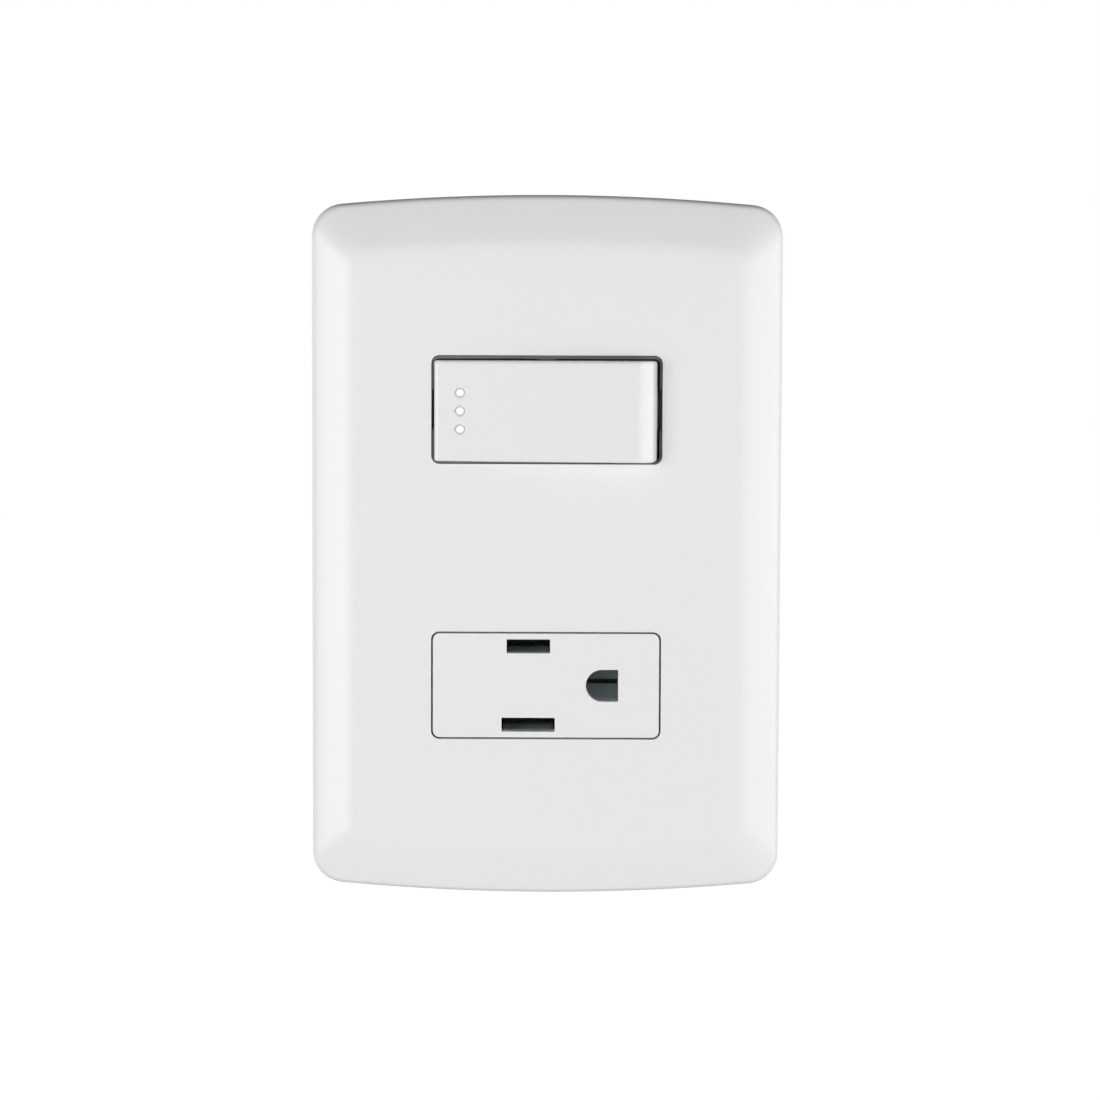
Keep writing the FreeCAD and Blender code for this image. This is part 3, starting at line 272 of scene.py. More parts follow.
def connect(tree, socket, value):
    """Link a signal to a socket, or set the socket's own value."""
    if isinstance(value, Signal):
        tree.links.new(value.socket, socket)
    elif hasattr(socket.default_value, "__len__") and len(socket.default_value) == 4:
        socket.default_value = (*value[:3], 1)
    else:
        socket.default_value = value


class Graph:
    """The nodes of a material or of the world."""

    def __init__(self, owner):
        owner.use_nodes = True
        self.tree = owner.node_tree

    def node(self, kind, settings=None, sockets=None, output=0):
        """Add a node: settings first, then the values or links of its sockets."""
        node = self.tree.nodes.new(kind)
        for name, value in (settings or {}).items():
            setattr(node, name, value)
        for name, value in (sockets or {}).items():
            connect(self.tree, node.inputs[name], value)
        return Signal(self.tree, node.outputs[output])

    def fade(self, value, start, end, low, high):
        """A number that goes softly from one level to another while a value goes from start to end."""
        sockets = {"Value": value, "From Min": start, "From Max": end, "To Min": low, "To Max": high}
        return self.node("ShaderNodeMapRange", {"interpolation_type": "SMOOTHSTEP"}, sockets)

    def part(self, vector, axis):
        """One coordinate of a vector."""
        return self.node("ShaderNodeSeparateXYZ", sockets={0: vector}, output=axis)


class Finish(Graph):
    """A material whose surface is one Principled BSDF."""

    def __init__(self, name):
        self.material = bpy.data.materials.new(name)
        super().__init__(self.material)
        self.surface = self.tree.nodes["Principled BSDF"]

    def set(self, **values):
        """Set or link the surface's own sockets, with _ for a space in a name."""
        for name, value in values.items():
            connect(self.tree, self.surface.inputs[name.replace("_", " ")], value)

    def place(self):
        """The point on the object, in metres."""
        return self.node("ShaderNodeTexCoord", output=3)

    def stretched(self, scale):
        """The point on the object, scaled differently along each axis."""
        return self.node("ShaderNodeMapping", sockets={"Vector": self.place(), "Scale": scale})

    def noise(self, size, place=None, detail=3.0):
        """Soft noise from 0 to 1, with features of a size in millimetres."""
        sockets = {"Vector": place or self.place(), "Scale": 1 / (size * MM), "Detail": detail}
        return self.node("ShaderNodeTexNoise", sockets=sockets)

    def tint(self, share, colour, other):
        """A colour that runs from one to another as the share runs from 0 to 1."""
        sockets = {0: share, 6: colour, 7: other}
        return self.node("ShaderNodeMix", {"data_type": "RGBA"}, sockets, output=2)

    def relief(self, height, depth):
        """A bump whose height of 1 stands for a depth in millimetres."""
        sockets = {"Height": height, "Distance": depth * MM, "Strength": 1.0}
        self.set(Normal=self.node("ShaderNodeBump", sockets=sockets))


print("the helpers for finishes are ready")

# %% [markdown]
# ## White plastic
# The plate, the key and the socket's face are urea or polycarbonate with a satin gloss. It is almost
# even: the tone drifts a little over centimetres, and the moulded skin has a very faint ripple.

# %% Make the white finishes


def shade(colour, factor):
    return [part * factor for part in colour]


def satin_plastic(name, colour, roughness):
    finish = Finish(name)
    drift = finish.noise(28.0, detail=2.0)
    finish.set(Base_Color=finish.tint(drift, shade(colour, 0.985), colour))
    finish.set(Roughness=roughness + 0.05 * finish.noise(7.0))
    ripple = finish.noise(1.6, detail=2.0)
    grain = finish.noise(0.16, detail=2.0)
    finish.relief(0.75 * ripple + 0.25 * grain, 0.0025)
    return finish


WHITE = (0.80, 0.80, 0.798)
plate_white = satin_plastic("plate_white", WHITE, 0.30)
key_white = satin_plastic("key_white", WHITE, 0.26)
face_white = satin_plastic("face_white", WHITE, 0.30)
dot_white_painted_glow = satin_plastic("dot_white_painted_glow", (0.9, 0.9, 0.9), 0.25)
# The dots' faint glow is painted light: an emission that makes them read pure white, though they are no
# lamp.
dot_white_painted_glow.set(Emission_Color=(1.0, 1.0, 1.0), Emission_Strength=0.2)
print("white finishes:", plate_white.material.name, key_white.material.name)

# %% [markdown]
# ## Dark and grey plastic
# The collar, the frame and the housings are filled nylon from a spark-eroded mould. It leaves a fine
# frosted grain, which is two sizes of noise as a bump, with a roughness that follows the grain.

# %% Make the frosted finishes


def frosted_plastic(name, colour, roughness, grain=0.22, depth=0.012):
    finish = Finish(name)
    fine = finish.noise(grain)
    coarse = finish.noise(grain * 4)
    cloud = finish.noise(9.0)
    mixed = 0.65 * fine + 0.35 * coarse
    finish.set(Base_Color=finish.tint(cloud, shade(colour, 0.82), shade(colour, 1.16)))
    finish.set(Roughness=roughness + 0.16 * mixed)
    finish.relief(mixed, depth)
    return finish


collar_grey = frosted_plastic("collar_grey", (0.125, 0.137, 0.133), 0.42, depth=0.004)
frame_grey = frosted_plastic("frame_grey", (0.33, 0.34, 0.35), 0.48)
housing_black = frosted_plastic("housing_black", (0.024, 0.029, 0.029), 0.42)
carrier_black = frosted_plastic("carrier_black", (0.016, 0.016, 0.016), 0.38)
plunger_cream = frosted_plastic("plunger_cream", (0.66, 0.62, 0.50), 0.28, depth=0.003)
print("frosted finishes:", collar_grey.material.name, frame_grey.material.name)

# %% [markdown]
# ## Metals
# Brass strip is rolled, so its fine lines run along the strip. The socket's contacts are nickel plated
# and duller. Clamps are zinc plated with a cloudy bloom, the screws are bright, and the contact tips are
# turned silver.

# %% Make the metal finishes


def rolled_metal(name, colour, dark, roughness, lines=(300.0, 6000.0, 6000.0), depth=0.002):
    finish = Finish(name)
    cloud = finish.noise(3.5, detail=4.0)
    streak = finish.node("ShaderNodeTexNoise",
                         sockets={"Vector": finish.stretched(lines), "Scale": 1.0, "Detail": 3.0})
    finish.set(Metallic=1.0, Base_Color=finish.tint(cloud, dark, colour))
    finish.set(Roughness=roughness + 0.14 * streak + 0.08 * cloud)
    finish.relief(streak, depth)
    return finish


brass = rolled_metal("brass", (0.74, 0.50, 0.20), (0.60, 0.38, 0.14), 0.20)
silver = rolled_metal("silver", (0.80, 0.79, 0.76), (0.66, 0.65, 0.62), 0.16)
zinc = rolled_metal("zinc", (0.62, 0.63, 0.64), (0.48, 0.49, 0.51), 0.28)
steel = rolled_metal("steel", (0.55, 0.55, 0.56), (0.42, 0.42, 0.44), 0.22)
plated = rolled_metal("plated", (0.62, 0.70, 0.70), (0.48, 0.56, 0.57), 0.50)
print("metals:", [metal.material.name for metal in (brass, silver, zinc, steel, plated)])

# %% [markdown]
# ## Putting a piece in its place
# Each piece takes a finish, the record's name for it, the body that it moves with and the nodes that
# it stands for.

# %% Dress a piece or a node


def dress(piece, finish, slot, body, *replaced):
    """Finish a new piece, attach it to the body that it moves with and hide the nodes that it stands for;
    the slot is not used.
    """
    piece.data.materials.clear()
    piece.data.materials.append(finish.material)
    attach(piece, body)
    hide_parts(*replaced)
    print(piece.name, "has", len(piece.data.polygons), "faces")


print("nodes to finish:", len(nodes))

# %% [markdown]
# ## The wall plate
# The plate is a thin shell with arched ends. Its front is flat in the middle. A very low dome leads to
# a soft shoulder, and from there the crown falls away to the side wall: in a curve at the sides, and
# nearly straight at the two ends, where a longer round leads to the wall. In the CAD the crown is a few
# flat bands. Here the same curve has many rings, and the shoulder and the outer edge are rounded too.

# %% Draw the plate's outline
PLATE_CORNER = 5.2
FRONT_CORNER = 2.6
ARCH_RADIUS = 363.0


def plate_outline(side_inset, end_inset, corner):
    """The outline with its long arched ends, moved inward by an inset."""
    half_width = plate_width / 2 - side_inset
    half_height = plate_height / 2 - end_inset
    arch = ARCH_RADIUS - end_inset
    arch_centre = half_height - arch
    corner_across = half_width - corner
    from_centre = math.sqrt((arch - corner) ** 2 - corner_across ** 2)
    corner_up = arch_centre + from_centre
    joint = math.degrees(math.atan2(from_centre, corner_across))
    upper = arc(corner_across, corner_up, corner, 0, joint, 12)
    upper += arc(0, arch_centre, arch, joint, 180 - joint, 36)[1:-1]
    upper += arc(-corner_across, corner_up, corner, 180 - joint, 180, 12)
    return upper + [(-across, -up) for across, up in upper]


print("the plate's outline has", len(plate_outline(0, 0, PLATE_CORNER)), "points")

# %% Describe the crown
CROWN_DROP = 3.0
DOME_DROP = 0.25
DOME_END = 0.14
CROWN_START = 0.1
SIDE_CROWN = 6.2
END_CROWN = 7.8


def turn_between(start, corner, end, steps):
    """Points on a smooth turn that leaves one point towards a corner and arrives at another."""
    points = []
    for number in range(steps + 1):
        share = number / steps
        weights = (1 - share) ** 2, 2 * share * (1 - share), share ** 2
        points.append(tuple(sum(weight * value for weight, value in zip(weights, values))
                            for values in zip(start, corner, end)))
    return points


def crown_profile(crown, dome, bulge, edge_drop, edge_level):
    """The crown as (drop, inset), from the flat middle over the low dome and the shoulder to the wall."""
    straight = 1 - bulge

    def on_dome(share):
        return DOME_DROP * (1 - share) ** 2, crown + (dome - crown) * share

    def on_crown(level):
        left = (math.sqrt(straight ** 2 + 4 * bulge * level) - straight) / (2 * bulge)
        return DOME_DROP + (CROWN_DROP - DOME_DROP) * level, crown * (1 - left)

    points = [on_dome(1 - (1 - DOME_END) * number / 10) for number in range(10)]
    points += turn_between(on_dome(DOME_END), on_crown(0), on_crown(CROWN_START), 8)
    points += [on_crown(CROWN_START + (edge_level - CROWN_START) * number / 20) for number in range(1, 20)]
    return points + turn_between(on_crown(edge_level), (CROWN_DROP, 0), (CROWN_DROP + edge_drop, 0), 10)


sides = crown_profile(SIDE_CROWN, dome=12.0, bulge=0.45, edge_drop=0.8, edge_level=0.80)
ends = crown_profile(END_CROWN, dome=16.0, bulge=0.12, edge_drop=1.6, edge_level=0.86)
drops = sorted(set(round(drop, 3) for drop, inset in sides + ends), reverse=True)
drops = [drop for drop, lower in zip(drops, drops[1:]) if drop - lower > 0.004] + [0.0]
print("the crown has", len(drops), "rings")

# %% Build the plate's shell


def plate_ring(drop):
    """The plate's outline at a drop below its front, with corners that tighten up the crown."""
    side_inset, end_inset = inset_at(sides, drop), inset_at(ends, drop)
    risen = min(side_inset / SIDE_CROWN, 1)
    corner = PLATE_CORNER + (FRONT_CORNER - PLATE_CORNER) * risen
    return ring(plate_outline(side_inset, end_inset, corner), plate_front + drop)


SHELL_DEPTH = -5.3
INNER_FACE = -6.8
SIDE_WALL = 2.0
DEEP_INSET = 5.1
deep_line = plate_outline(DEEP_INSET, DEEP_INSET, FRONT_CORNER)
wall_line = plate_outline(SIDE_WALL, SIDE_WALL, PLATE_CORNER - SIDE_WALL)
outer_line = plate_outline(0, 0, PLATE_CORNER)
plate = skin("moulded_plate", [
    ring(deep_line, INNER_FACE), ring(deep_line, SHELL_DEPTH), ring(wall_line, SHELL_DEPTH),
    ring(wall_line, 0), ring(outer_line, 0), *[plate_ring(drop) for drop in drops],
])
print("the shell has", len(plate.data.polygons), "faces")

# %% [markdown]
# Two ribs stiffen the plate inside, and four snap hooks hold it on the frame. Each hook is a leg with
# a barb, so it is drawn as it is seen from above.

# %% Add the ribs and the hooks, and cut the openings
HOOK_PROFILE = [(22.9, -7.2), (24.2, -7.2), (24.2, -2.8), (24.8, -2.8), (24.2, -1.6), (22.9, -1.6)]
HOOK_WIDTH = 5.0
HOOK_UP = 30.0
RIB_WALL, RIB_LENGTH, RIB_ACROSS = 1.2, 84.0, 31.0


def window(up):
    """The cutter for a module's opening."""
    return prism(rounded(37.0, 17.4, 1.3, up=up, steps=10), 1, plate_front - 1)


def snap_hook(side, up):
    profile = [(across * side, depth) for across, depth in HOOK_PROFILE]
    return slab(profile, up - HOOK_WIDTH / 2, up + HOOK_WIDTH / 2)


def rib(side):
    return prism(rounded(RIB_WALL, RIB_LENGTH, 0.3, across=RIB_ACROSS * side, steps=3), -7.2, -2.8)


join(plate, rib(-1), rib(1), *[snap_hook(side, up) for side in (-1, 1) for up in (-HOOK_UP, HOOK_UP)])
score(plate, 0, 0.0)
score(plate, 2, -switch_up, switch_up)
pry_notch = prism(rounded(8.0, 12.0, 0.4, up=-56.5), 1, -1.4)
cut(plate, window(switch_up), window(-switch_up), pry_notch)
soften(plate, 0.14)
dress(plate, plate_white, "plate_plastic", "root", "wall_plate")

# %% [markdown]
# ## The rocker key
# The key is a shallow cap. Its raised end falls away in a wide round, its other edges in a narrow one,
# so the outline shrinks at three rates from ring to ring. Two ears with trunnions hang from its long
# walls and turn in the collar. It is built flat and then turned to its tilt.

# %% Describe the key
KEY_TILT = math.radians(-5.5)
on_rocker = (Matrix.Translation((0, PIVOT_DEPTH * MM, rocker_up * MM))
             @ Matrix.Rotation(KEY_TILT, 4, "Z"))
KEY_LENGTH = 35.2
KEY_HEIGHT = 16.2
KEY_WALL = 1.3
KEY_FACE = -6.0
KEY_INNER_FACE = KEY_FACE + KEY_WALL
KEY_REAR = -0.1
EDGE_ROUND = 0.6
LOW_END_ROUND = 0.7
WALL_REACH = 17.98
CREST = [(2.35, 5.2, 15, 40), (0.35, 0.98, 40, 90)]


def fallen(radius, below):
    """How far a round edge has come in at a depth below the face."""
    return 0 if below >= radius else radius - math.sqrt(radius ** 2 - (radius - below) ** 2)


def crest_levels(steps):
    """The raised end as (depth, inset), from the (inset, radius, start, end) of its two arcs."""
    levels = []
    depth = 0
    for inset, radius, start, end in CREST:
        first = math.radians(start)
        for number in range(steps + 1):
            angle = math.radians(start + (end - start) * number / steps)
            levels.append((depth + radius * (math.cos(first) - math.cos(angle)),
                           inset - radius * (math.sin(angle) - math.sin(first))))
        depth = levels[-1][0]
    return levels


def key_ring(below):
    """The key's outline at a depth: under the crest the raised end follows an arc about the pivot."""
    height = KEY_HEIGHT - 2 * fallen(EDGE_ROUND, below)
    left = KEY_LENGTH / 2 - fallen(LOW_END_ROUND, below)
    right = KEY_LENGTH / 2 - inset_at(crest, below)
    if below >= crest_end:
        right = max(right, math.sqrt(WALL_REACH ** 2 - (KEY_FACE + below) ** 2))
    outline = rounded(left + right, height, 0.45, across=(right - left) / 2, steps=6)
    return ring(outline, KEY_FACE + below)


crest = crest_levels(10)
crest_end = crest[-1][0]
wall_end = KEY_REAR - KEY_FACE
edge_levels = [EDGE_ROUND * (1 - math.cos(math.radians(9 * number))) for number in range(11)]
wall_levels = [crest_end + (wall_end - crest_end) * number / 8 for number in range(1, 9)]
all_levels = edge_levels + wall_levels + [depth for depth, inset in crest]
key_levels = sorted(set(round(depth, 4) for depth in all_levels))
print("the key has", len(key_levels), "rings")

# %% Build the key
inside = rounded(KEY_LENGTH - 2 * KEY_WALL, KEY_HEIGHT - 2 * KEY_WALL, 0.4, steps=6)
key_rings = [key_ring(below) for below in reversed(key_levels)]
key = skin("finger_key", [ring(inside, KEY_INNER_FACE), ring(inside, KEY_REAR), *key_rings])
EAR_REACH = 2.5
EAR_ROUND = 1.2
EAR_CENTRE = 0.4
TRUNNION_RADIUS = 1.2
TRUNNION_END = 10.2


def key_ear(side):
    """A tongue under a long wall, with the trunnion that turns in the collar."""
    outer_face = KEY_HEIGHT / 2
    tongue = [(-EAR_REACH, -4.8), (EAR_REACH, -4.8)]
    tongue += arc(EAR_REACH - EAR_ROUND, EAR_CENTRE, EAR_ROUND, 0, 90, 6)
    tongue += arc(EAR_ROUND - EAR_REACH, EAR_CENTRE, EAR_ROUND, 90, 180, 6)
    pin = arc(0, 0, TRUNNION_RADIUS, 0, 350, 35)
    low, high = sorted((side * (outer_face - KEY_WALL), side * outer_face))
    start, end = sorted((side * (outer_face - 0.5), side * TRUNNION_END))
    return [slab(tongue, low, high), slab(pin, start, end)]


join(key, *key_ear(-1), *key_ear(1))
print("the key has", len(key.data.polygons), "faces")

# %% [markdown]
# ## The three dots
# The dots are pins of a clear-white insert behind the key, with a faint painted glow that makes them read
# pure white. They come through three holes, each in a shallow dish of the key's face, and end in a low
# dome. Dish, hole and pin are turned shapes.

# %% Sink the dishes and the holes
DOT_ACROSS = -13.4
DOT_UPS = (-2.93, 0.0, 2.93)
DISH_PROFILE = [(1.05, -6.4), (1.0, -6.02), (0.93, -5.92), (0.86, -5.80), (0.78, -5.70), (0.78, -4.0)]


def turned(name, profile, across=0, up=0, steps=40):
    """A shape turned about the Y axis, from (radius, depth) points."""
    rings = []
    for radius, depth in profile:
        rings.append(ring(arc(across, up, radius, 0, 360 - 360 / steps, steps - 1), depth))
    return skin(name, rings)


score(key, 0, DOT_ACROSS)
score(key, 2, *DOT_UPS)
cut(key, *[turned("dish", DISH_PROFILE, DOT_ACROSS, up) for up in DOT_UPS])
key.data.transform(on_rocker)
soften(key, 0.08)
dress(key, key_white, "key_plastic", "rocker", "rocker_key")

# %% Build the insert with its pins
PIN_RADIUS = 0.58
PIN_RISE = 0.15
pin_dome = []
for angle in range(90, 0, -10):
    slope = math.radians(angle)
    pin_dome.append((PIN_RADIUS * math.sin(slope), KEY_FACE - PIN_RISE * math.cos(slope)))
pin_profile = [(PIN_RADIUS, -4.5), *pin_dome, (0.02, KEY_FACE - PIN_RISE)]
strip = prism(rounded(2.2, 8.8, 0.4, across=DOT_ACROSS), KEY_INNER_FACE, -3.9)
strip.name = "dot_insert"
join(strip, *[turned("pin", pin_profile, DOT_ACROSS, up) for up in DOT_UPS])
strip.data.transform(on_rocker)
dress(strip, dot_white_painted_glow, "glow_plastic", "rocker", "glow_insert")

# %% [markdown]
# ## The socket's face
# The face is one moulding with its flange and its tray. The two blade slots and the earth hole go
# through the front wall, and all their edges are slightly broken.

# %% Describe the socket's face
SOCKET_UP = -switch_up
LINE_UP = SOCKET_UP + 6.35
NEUTRAL_UP = SOCKET_UP - 6.35
BLADE_ACROSS = -2.85
EARTH_ACROSS = 9.0
EARTH_RADIUS = 2.58
EARTH_FLAT = EARTH_ACROSS + 2.64
SLOT_HEIGHT = 2.25
LUG_PROFILE = [(19.5, -2.8), (20.7, -2.8), (20.0, -1.8), (19.5, -1.8)]
LUG_WIDTH = 4.0


def face_block(width, height, corner, start, end, steps=8):
    """A block on the middle of the socket, used as an addition or as a cutter."""
    return prism(rounded(width, height, corner, up=SOCKET_UP, steps=steps), start, end)


def through_front(outline):
    """The cutter for an opening of the front wall."""
    return prism(outline, -4, plate_front - 1)


def blade_slot(width, up):
    return through_front(rounded(width, SLOT_HEIGHT, 0.12, across=BLADE_ACROSS, up=up, steps=3))


def snap_lug(side):
    profile = [(across * side, depth) for across, depth in LUG_PROFILE]
    return slab(profile, SOCKET_UP - LUG_WIDTH / 2, SOCKET_UP + LUG_WIDTH / 2)


print("slots at", round(LINE_UP, 2), "and", round(NEUTRAL_UP, 2), "earth hole at", round(SOCKET_UP, 2))

# %% Build the socket's face
face = face_block(44.0, 21.8, 1.0, -4.7, -6.6)
face.name = "socket_front"
join(face, face_block(40.0, 21.2, 0.8, -1.7, -5.0))
join(face, face_block(36.4, 16.8, 1.1, -6.0, plate_front, steps=12))
join(face, snap_lug(-1), snap_lug(1))
cut(face, face_block(37.2, 18.6, 0.3, 0, -5.6, steps=2))
score(face, 0, BLADE_ACROSS, EARTH_ACROSS)
score(face, 2, NEUTRAL_UP, SOCKET_UP, LINE_UP)
earth = arc(EARTH_ACROSS, SOCKET_UP, EARTH_RADIUS, 90, 270, 28)
earth += [(EARTH_FLAT, SOCKET_UP - EARTH_RADIUS), (EARTH_FLAT, SOCKET_UP + EARTH_RADIUS)]
cut(face, face_block(33.9, 14.3, 0.3, -5.0, -6.6, steps=2), blade_slot(7.0, LINE_UP),
    blade_slot(8.6, NEUTRAL_UP), through_front(earth))
soften(face, 0.10)
dress(face, face_white, "face_plastic", "root", "socket_face")

# %% [markdown]
# ## The terminal screws
# Each screw has a cheese head with a slot and a fine thread. The thread is a skin whose radius rises
# and falls with the angle and the distance along the axis, so the crest runs round as a helix.

# %% Describe the screws
THREAD_PITCH = 0.6
THREAD_DEPTH = 0.24
RINGS_A_TURN = 8
SHANK_RADIUS = 1.7
TIP_RADIUS = 1.25
HEAD_RADIUS = 3.1
HEAD_ROUND = 0.4
DRIVE_WIDTH, DRIVE_DEPTH = 0.9, 0.9
TIP_END, THREAD_START, HEAD_INNER, HEAD_END = 13.5, 13.9, 18.1, 19.9
SCREW_REAR = 6.0
SCREW_STEPS = 36


def thread_ring(along):
    """A round of the thread, whose radius falls from the crest to the root and rises again."""
    points = []
    for number in range(SCREW_STEPS):
        turn = number / SCREW_STEPS
        share = (along / THREAD_PITCH - turn) % 1
        radius = SHANK_RADIUS - THREAD_DEPTH * abs(2 * share - 1)
        points.append((along, radius * math.cos(math.tau * turn), radius * math.sin(math.tau * turn)))
    return points


def plain_ring(along, radius):
    angles = [math.tau * number / SCREW_STEPS for number in range(SCREW_STEPS)]
    return [(along, radius * math.cos(angle), radius * math.sin(angle)) for angle in angles]


def terminal_screw(name, side, up):
    """A screw that stands along X, with its head at the module's end."""
    length = HEAD_INNER - THREAD_START
    count = round(length / THREAD_PITCH * RINGS_A_TURN)
    rings = [plain_ring(TIP_END, TIP_RADIUS)]
    rings += [thread_ring(THREAD_START + length * number / count) for number in range(count + 1)]
    rings += [plain_ring(HEAD_INNER, HEAD_RADIUS - 0.1), plain_ring(HEAD_INNER + 0.1, HEAD_RADIUS)]
    for angle in range(0, 91, 15):
        slope = math.radians(angle)
        along = HEAD_END - HEAD_ROUND + HEAD_ROUND * math.sin(slope)
        rings.append(plain_ring(along, HEAD_RADIUS - HEAD_ROUND + HEAD_ROUND * math.cos(slope)))
    screw = skin(name, rings)
    floor, clear = HEAD_END - DRIVE_DEPTH, HEAD_END + 1
    cut(screw, slab([(floor, -4), (clear, -4), (clear, 4), (floor, 4)], -DRIVE_WIDTH / 2, DRIVE_WIDTH / 2))
    facing = Matrix.Rotation(0 if side > 0 else math.pi, 4, "Z")
    screw.data.transform(Matrix.Translation((0, SCREW_REAR * MM, up * MM)) @ facing)
    soften(screw, 0.04, segments=2, angle=50)
    return screw


print("each thread has", round((HEAD_INNER - THREAD_START) / THREAD_PITCH, 1), "turns")

# %% Build the screws
PAIR_OFFSET = 5.3
TERMINALS = {
    "common": (-1, switch_up), "load": (1, switch_up), "ground": (1, SOCKET_UP),
    "line": (-1, SOCKET_UP + PAIR_OFFSET), "neutral": (-1, SOCKET_UP - PAIR_OFFSET),
}
for word, (side, up) in TERMINALS.items():
    screw = terminal_screw(f"{word}_screw_thread", side, up)
    dress(screw, steel, "clamp_zinc", "root", f"{word}_screw")

# %% [markdown]
# ## The coil spring
# The spring is a tube along a helix. One end rests in the bore of the carrier, the other on the plunger.

# %% Build the spring
WIRE_RADIUS = 0.2
COIL_RADIUS = 1.3
TURNS = 6
SPRING_START, SPRING_END = -3.5, 3.7
SPRING_LENGTH = SPRING_END - SPRING_START
RISE = SPRING_LENGTH / (math.tau * TURNS)


def coil_ring(share):
    """A round of wire, square to the helix at a share of its length."""
    angle = math.tau * TURNS * share
    outward = Vector((math.cos(angle), 0, math.sin(angle)))
    along = Vector((-COIL_RADIUS * math.sin(angle), RISE, COIL_RADIUS * math.cos(angle))).normalized()
    sideways = outward.cross(along)
    centre = outward * COIL_RADIUS + Vector((0, SPRING_START + SPRING_LENGTH * share, 0))
    points = []
    for number in range(12):
        turn = math.tau * number / 12
        points.append(centre + WIRE_RADIUS * (outward * math.cos(turn) + sideways * math.sin(turn)))
    return points


coil_steps = TURNS * 28
spring = skin("coil_spring", [coil_ring(number / coil_steps) for number in range(coil_steps + 1)])
spring.data.transform(on_rocker)
spring.data.materials.append(steel.material)
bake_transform(spring)
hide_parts("plunger_spring")
print("the spring has", TURNS, "turns and", len(spring.data.polygons), "faces")

# %% [markdown]
# ## The pieces that keep their CAD mesh
# Inside, the CAD shapes are right as they are. They get rounded edges from a Bevel modifier, after a
# weld that joins the faces, and the finish of what they are made of.

# %% Finish the other nodes
KEPT = {
    "support_frame": (frame_grey, 0.12), "rocker_collar": (collar_grey, 0.05),
    "switch_housing": (housing_black, 0.12), "socket_body": (housing_black, 0.10),
    "plunger_carrier": (carrier_black, 0.10), "plunger": (plunger_cream, 0.0),
    "contact_lever": (brass, 0.06), "moving_contact": (silver, 0.0), "fixed_contact": (silver, 0.0),
    "common_terminal": (brass, 0.06), "load_terminal": (brass, 0.06),
    "line_contact": (plated, 0.06), "neutral_contact": (plated, 0.06), "ground_contact": (plated, 0.06),
    "common_clamp": (zinc, 0.08), "load_clamp": (zinc, 0.08), "line_clamp": (zinc, 0.08),
    "neutral_clamp": (zinc, 0.08), "ground_clamp": (zinc, 0.08),
}
for name, (finish, width) in KEPT.items():
    node = nodes[name]
    for slot in node.material_slots:
        slot.material = finish.material
    if width:
        soften(node, width, segments=2, weld=True)
print("finished", len(KEPT), "CAD nodes")

# %% [markdown]
# ## The floor, the light and the camera
# The photograph has a white ground without a contact shadow, so the floor lies well below the plate. The
# floor and the sky glow white behind the plate and get greyer towards the camera. That leaves the front
# to the softboxes: a wide one on the left, one on the right, and a narrow one for the right edge.

# %% Make the floor
FLOOR_LEVEL = -0.3
BACKDROP = 1.0
bpy.ops.mesh.primitive_plane_add(size=8, location=(0, 0, FLOOR_LEVEL))
floor = bpy.context.object
floor.name = "floor"
floor_pale = Finish("floor_pale")
toward_wall = floor_pale.part(floor_pale.place(), 1)
glow = floor_pale.fade(toward_wall, 0.0, 0.8, 0.25, BACKDROP)
floor_pale.set(Base_Color=(0.25, 0.25, 0.25), Roughness=0.9, Specular_IOR_Level=0.0, Emission_Strength=1.0)
floor_pale.set(Emission_Color=floor_pale.tint(glow, (0.0, 0.0, 0.0), (1.0, 1.0, 1.0)))
floor.data.materials.append(floor_pale.material)
print("the floor lies", FLOOR_LEVEL, "m up and measures", [round(side, 2) for side in floor.dimensions])

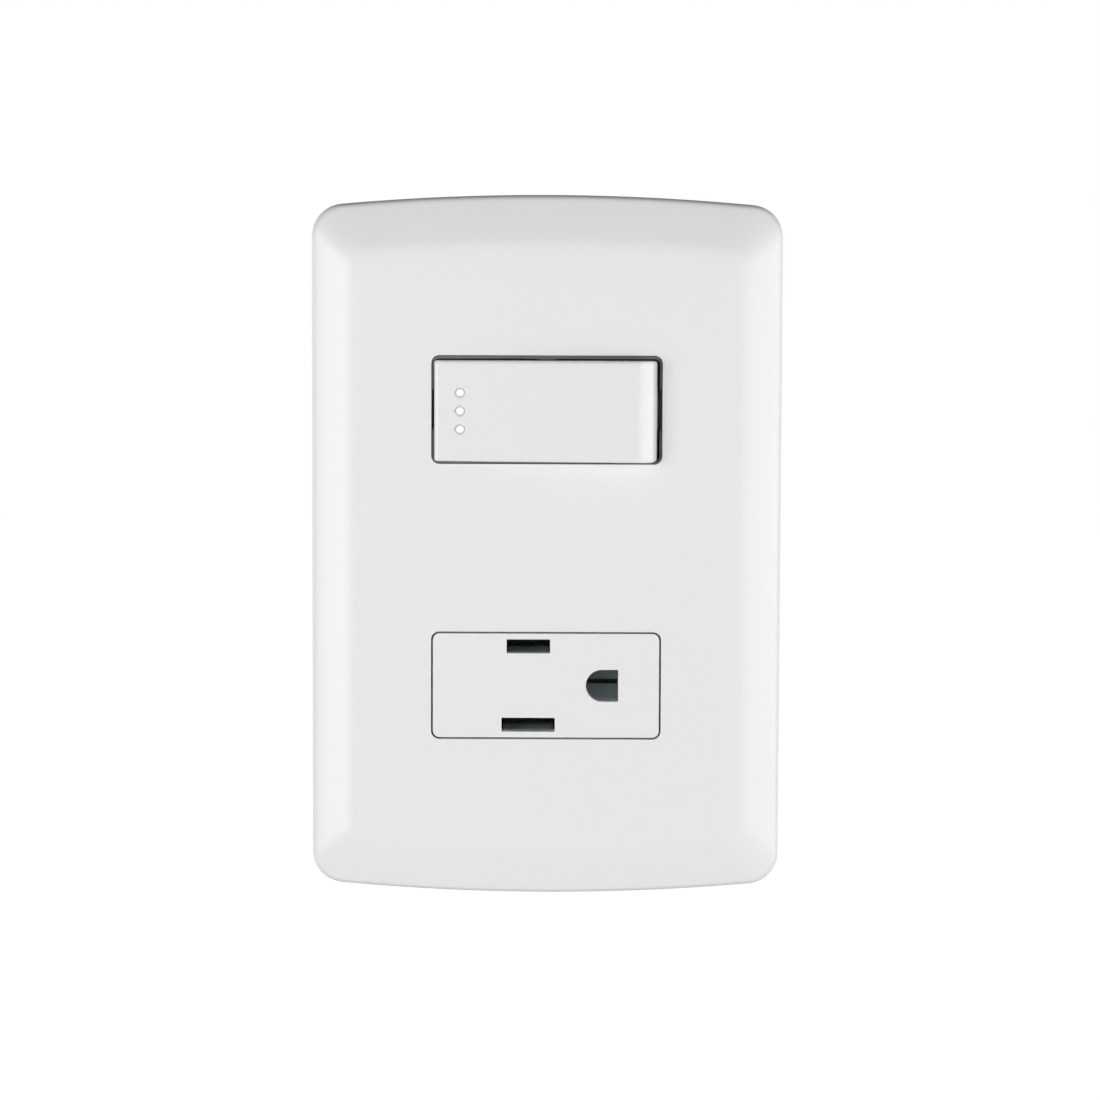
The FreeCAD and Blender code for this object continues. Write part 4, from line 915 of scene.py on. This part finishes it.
# %% Make the sky
bpy.context.scene.view_settings.view_transform = "Standard"
world = bpy.data.worlds.new("studio")
bpy.context.scene.world = world
sky = Graph(world)
direction = sky.node("ShaderNodeTexCoord", output=0)
upward = sky.part(direction, 2)
behind = sky.fade(sky.part(direction, 1), -0.1, 0.4, 0.0, 1.0)
backdrop = behind * sky.fade(upward, 0.066, 0.35, BACKDROP, 0.0)
front = (1 - behind) * sky.fade(upward, 0.05, 0.38, 0.6, 0.0)
overhead = sky.fade(upward, 0.10, 0.45, 0.0, 0.06)
background = sky.tree.nodes["Background"]
background.inputs["Color"].default_value = (1, 1, 1, 1)
connect(sky.tree, background.inputs["Strength"], backdrop + front + overhead)
print("the sky has", len(sky.tree.nodes), "nodes")

# %% Place the softboxes
LIGHT_DISTANCE = 0.85


def softbox(name, azimuth, elevation, width, height, power):
    """An area light that faces the plate: azimuth 0 is in front of it, and positive is to the right."""
    light = bpy.data.lights.new(name, "AREA")
    light.shape = "RECTANGLE"
    light.size, light.size_y, light.energy = width, height, power
    lamp = bpy.data.objects.new(name, light)
    bpy.context.scene.collection.objects.link(lamp)
    turn, rise = math.radians(azimuth), math.radians(elevation)
    place = Vector((math.sin(turn) * math.cos(rise), -math.cos(turn) * math.cos(rise), math.sin(rise)))
    lamp.location = place * LIGHT_DISTANCE
    lamp.rotation_euler = place.to_track_quat("Z", "Y").to_euler()


softbox("left_box", -45, -1, 0.6, 0.55, 4.9)
softbox("right_box", 50, -1, 0.6, 0.55, 2.95)
softbox("right_edge_box", 75, -1, 0.3, 0.55, 2.05)

# %% [markdown]
# The camera was found from 29 points measured in the photograph, and then moved by a tenth of a
# millimetre to centre the plate's outline. It looks slightly down on the plate with a long lens, and it
# leans by a fifth of a degree.

# %% Set the camera
CAMERA_DISTANCE = 0.592
elevation = math.radians(4.75)
lean = math.radians(-0.209)
target = Vector((0.000579, -0.009, -0.000285))
right = Vector((1, 0, 0))
back = Vector((0, -math.cos(elevation), math.sin(elevation)))
up = back.cross(right)
across = right * math.cos(lean) - up * math.sin(lean)
above = right * math.sin(lean) + up * math.cos(lean)
view = bpy.data.cameras.new("camera")
view.lens = 120.73
view.sensor_width = 36
view.clip_start = 0.01
camera = bpy.data.objects.new("camera", view)
bpy.context.scene.collection.objects.link(camera)
facing = Matrix((across, above, back)).transposed().to_4x4()
camera.matrix_world = Matrix.Translation(target + back * CAMERA_DISTANCE) @ facing
bpy.context.scene.camera = camera
print("camera at", [round(part, 3) for part in camera.matrix_world.translation])
